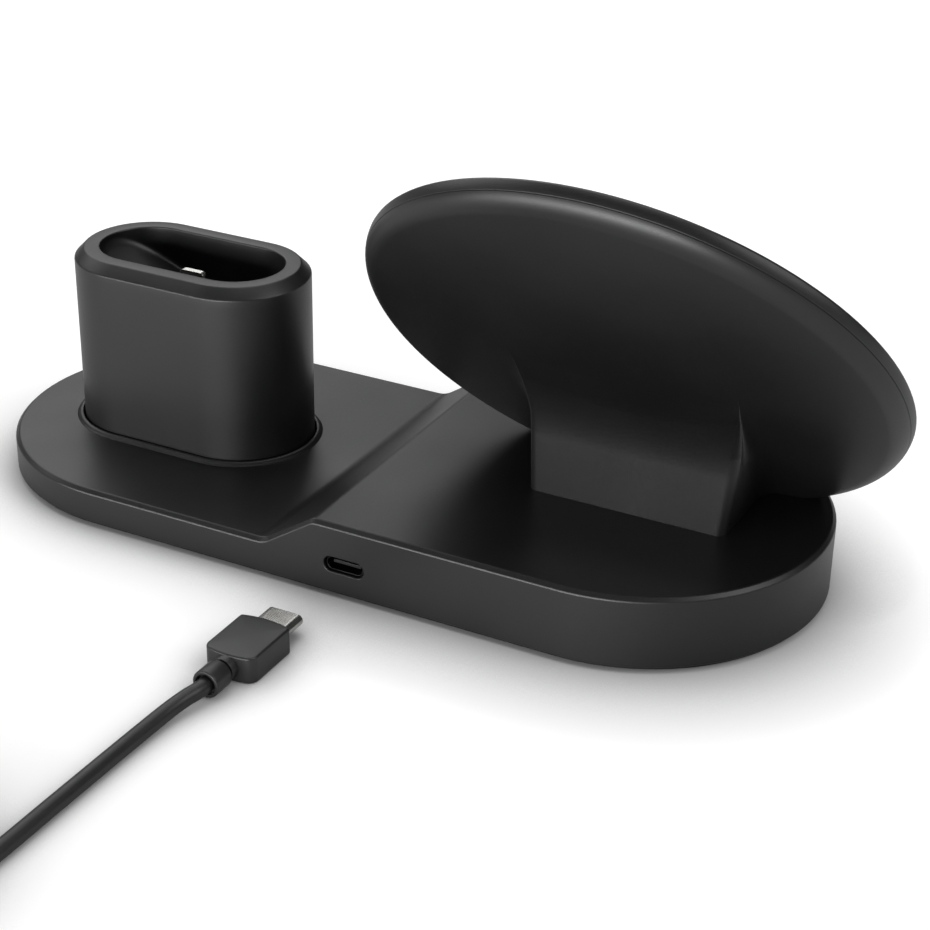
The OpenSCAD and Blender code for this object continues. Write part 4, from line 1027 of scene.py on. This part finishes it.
# The lamps reach this far over the floor, in metres, and past it the room's light alone keeps it white
LAMPS_REACH_FROM = 0.5
LAMPS_REACH_TO = 1.3
FAR_GLOW = 1.05
# Within this reach of the charger a contact shadow is painted into the floor's glow, and the higher the
# power the darker it is near the charger
SHADOW_PAINT_REACH_MM = 28
SHADOW_PAINT_POWER = 3.0


def studio_floor():
    """Pale grey paper under the lamps, plus the room's light as a glow, with a contact shadow painted
    into it near the
    charger: the glow is scaled by a power of how open the space above a point is."""
    corners = np.array([(-1, -1, 0), (1, -1, 0), (1, 1, 0), (-1, 1, 0)]) * FLOOR_HALF
    floor = mesh_piece("floor", corners, [[0, 1, 2, 3]], smooth=False)
    material, tree = new_material("white_paper_sweep")
    paths = add(tree, "ShaderNodeLightPath").outputs
    seen = add(
        tree,
        "ShaderNodeMath",
        {0: paths["Is Camera Ray"], 1: paths["Is Transmission Ray"]},
        operation="MAXIMUM",
    )
    place = add(tree, "ShaderNodeNewGeometry").outputs["Position"]
    away = add(tree, "ShaderNodeVectorMath", {0: place}, operation="LENGTH")
    far = add(
        tree,
        "ShaderNodeMapRange",
        {
            "Value": away.outputs["Value"],
            "From Min": LAMPS_REACH_FROM,
            "From Max": LAMPS_REACH_TO,
            "To Min": ROOM_GLOW,
            "To Max": FAR_GLOW,
        },
    )
    seen = add(
        tree, "ShaderNodeMath", {0: seen.outputs[0], 1: far.outputs["Result"]}, operation="MULTIPLY"
    )
    glow = add(
        tree,
        "ShaderNodeMath",
        {0: paths["Is Glossy Ray"], 1: MIRRORED_GLOW, 2: seen.outputs[0]},
        operation="MULTIPLY_ADD",
    )
    # Painted contact shadow: the glow is darkened near the charger by a power of how open the space
    # above each point is
    painted_shadow = add(tree, "ShaderNodeAmbientOcclusion", {"Distance": SHADOW_PAINT_REACH_MM * MM}, samples=8)
    painted_shadow = add(tree, "ShaderNodeMath", {0: painted_shadow.outputs["AO"], 1: SHADOW_PAINT_POWER}, operation="POWER")
    glow = add(
        tree, "ShaderNodeMath", {0: glow.outputs[0], 1: painted_shadow.outputs[0]}, operation="MULTIPLY"
    )
    paper = add(tree, "ShaderNodeBsdfDiffuse", {"Color": FLOOR_GREY, "Roughness": 0.5})
    room = add(tree, "ShaderNodeEmission", {"Color": (1, 1, 1, 1), "Strength": glow.outputs[0]})
    both = add(tree, "ShaderNodeAddShader", {0: paper.outputs["BSDF"], 1: room.outputs[0]})
    add(tree, "ShaderNodeOutputMaterial", {"Surface": both.outputs[0]})
    floor.data.materials.append(material)


studio_floor()


# Soft studio light

LAMP_DISTANCE = 1.3
LAMP_AIM = Vector((0, 0, 0.03))
WORLD_STRENGTH = 0.02
# Each lamp's name, its azimuth and elevation seen from the charger, its size in metres, and its watts
LAMPS = [
    ("low_panel_right", 184, 5, (0.8, 0.35), 13.5),
    ("low_panel_left", 150, 5, (0.8, 0.35), 9.0),
    ("deck_shine", 45, 38, (0.8, 0.8), 4.2),
    ("dock_side", 90, 38, (0.8, 0.8), 3.6),
    ("pad_side", 270, 38, (0.8, 0.8), 6.0),
    ("high_front", 0, 65, (0.8, 0.8), 3.0),
    ("overhead", 0, 90, (0.8, 0.8), 2.5),
]


def soft_box(name, azimuth, elevation, size, watts):
    """An area lamp on a sphere round the charger, facing it. Azimuth 0 is the user's side, 90 is +X."""
    a, e = math.radians(azimuth), math.radians(elevation)
    away = Vector((math.sin(a) * math.cos(e), -math.cos(a) * math.cos(e), math.sin(e)))
    data = bpy.data.lights.new(name, "AREA")
    data.shape = "RECTANGLE"
    data.size, data.size_y = size
    data.energy = watts
    lamp = bpy.data.objects.new(name, data)
    facing = away.to_track_quat("Z", "Y").to_matrix().to_4x4()
    lamp.matrix_world = Matrix.Translation(LAMP_AIM + LAMP_DISTANCE * away) @ facing
    bpy.context.scene.collection.objects.link(lamp)


for lamp in LAMPS:
    soft_box(*lamp)

world = bpy.data.worlds.new("studio")
bpy.context.scene.world = world
world.use_nodes = True
world.node_tree.nodes.clear()
room = add(
    world.node_tree, "ShaderNodeBackground", {"Color": (1, 1, 1, 1), "Strength": WORLD_STRENGTH}
)
add(world.node_tree, "ShaderNodeOutputWorld", {"Surface": room.outputs[0]})

bpy.context.scene.view_settings.view_transform = "Standard"
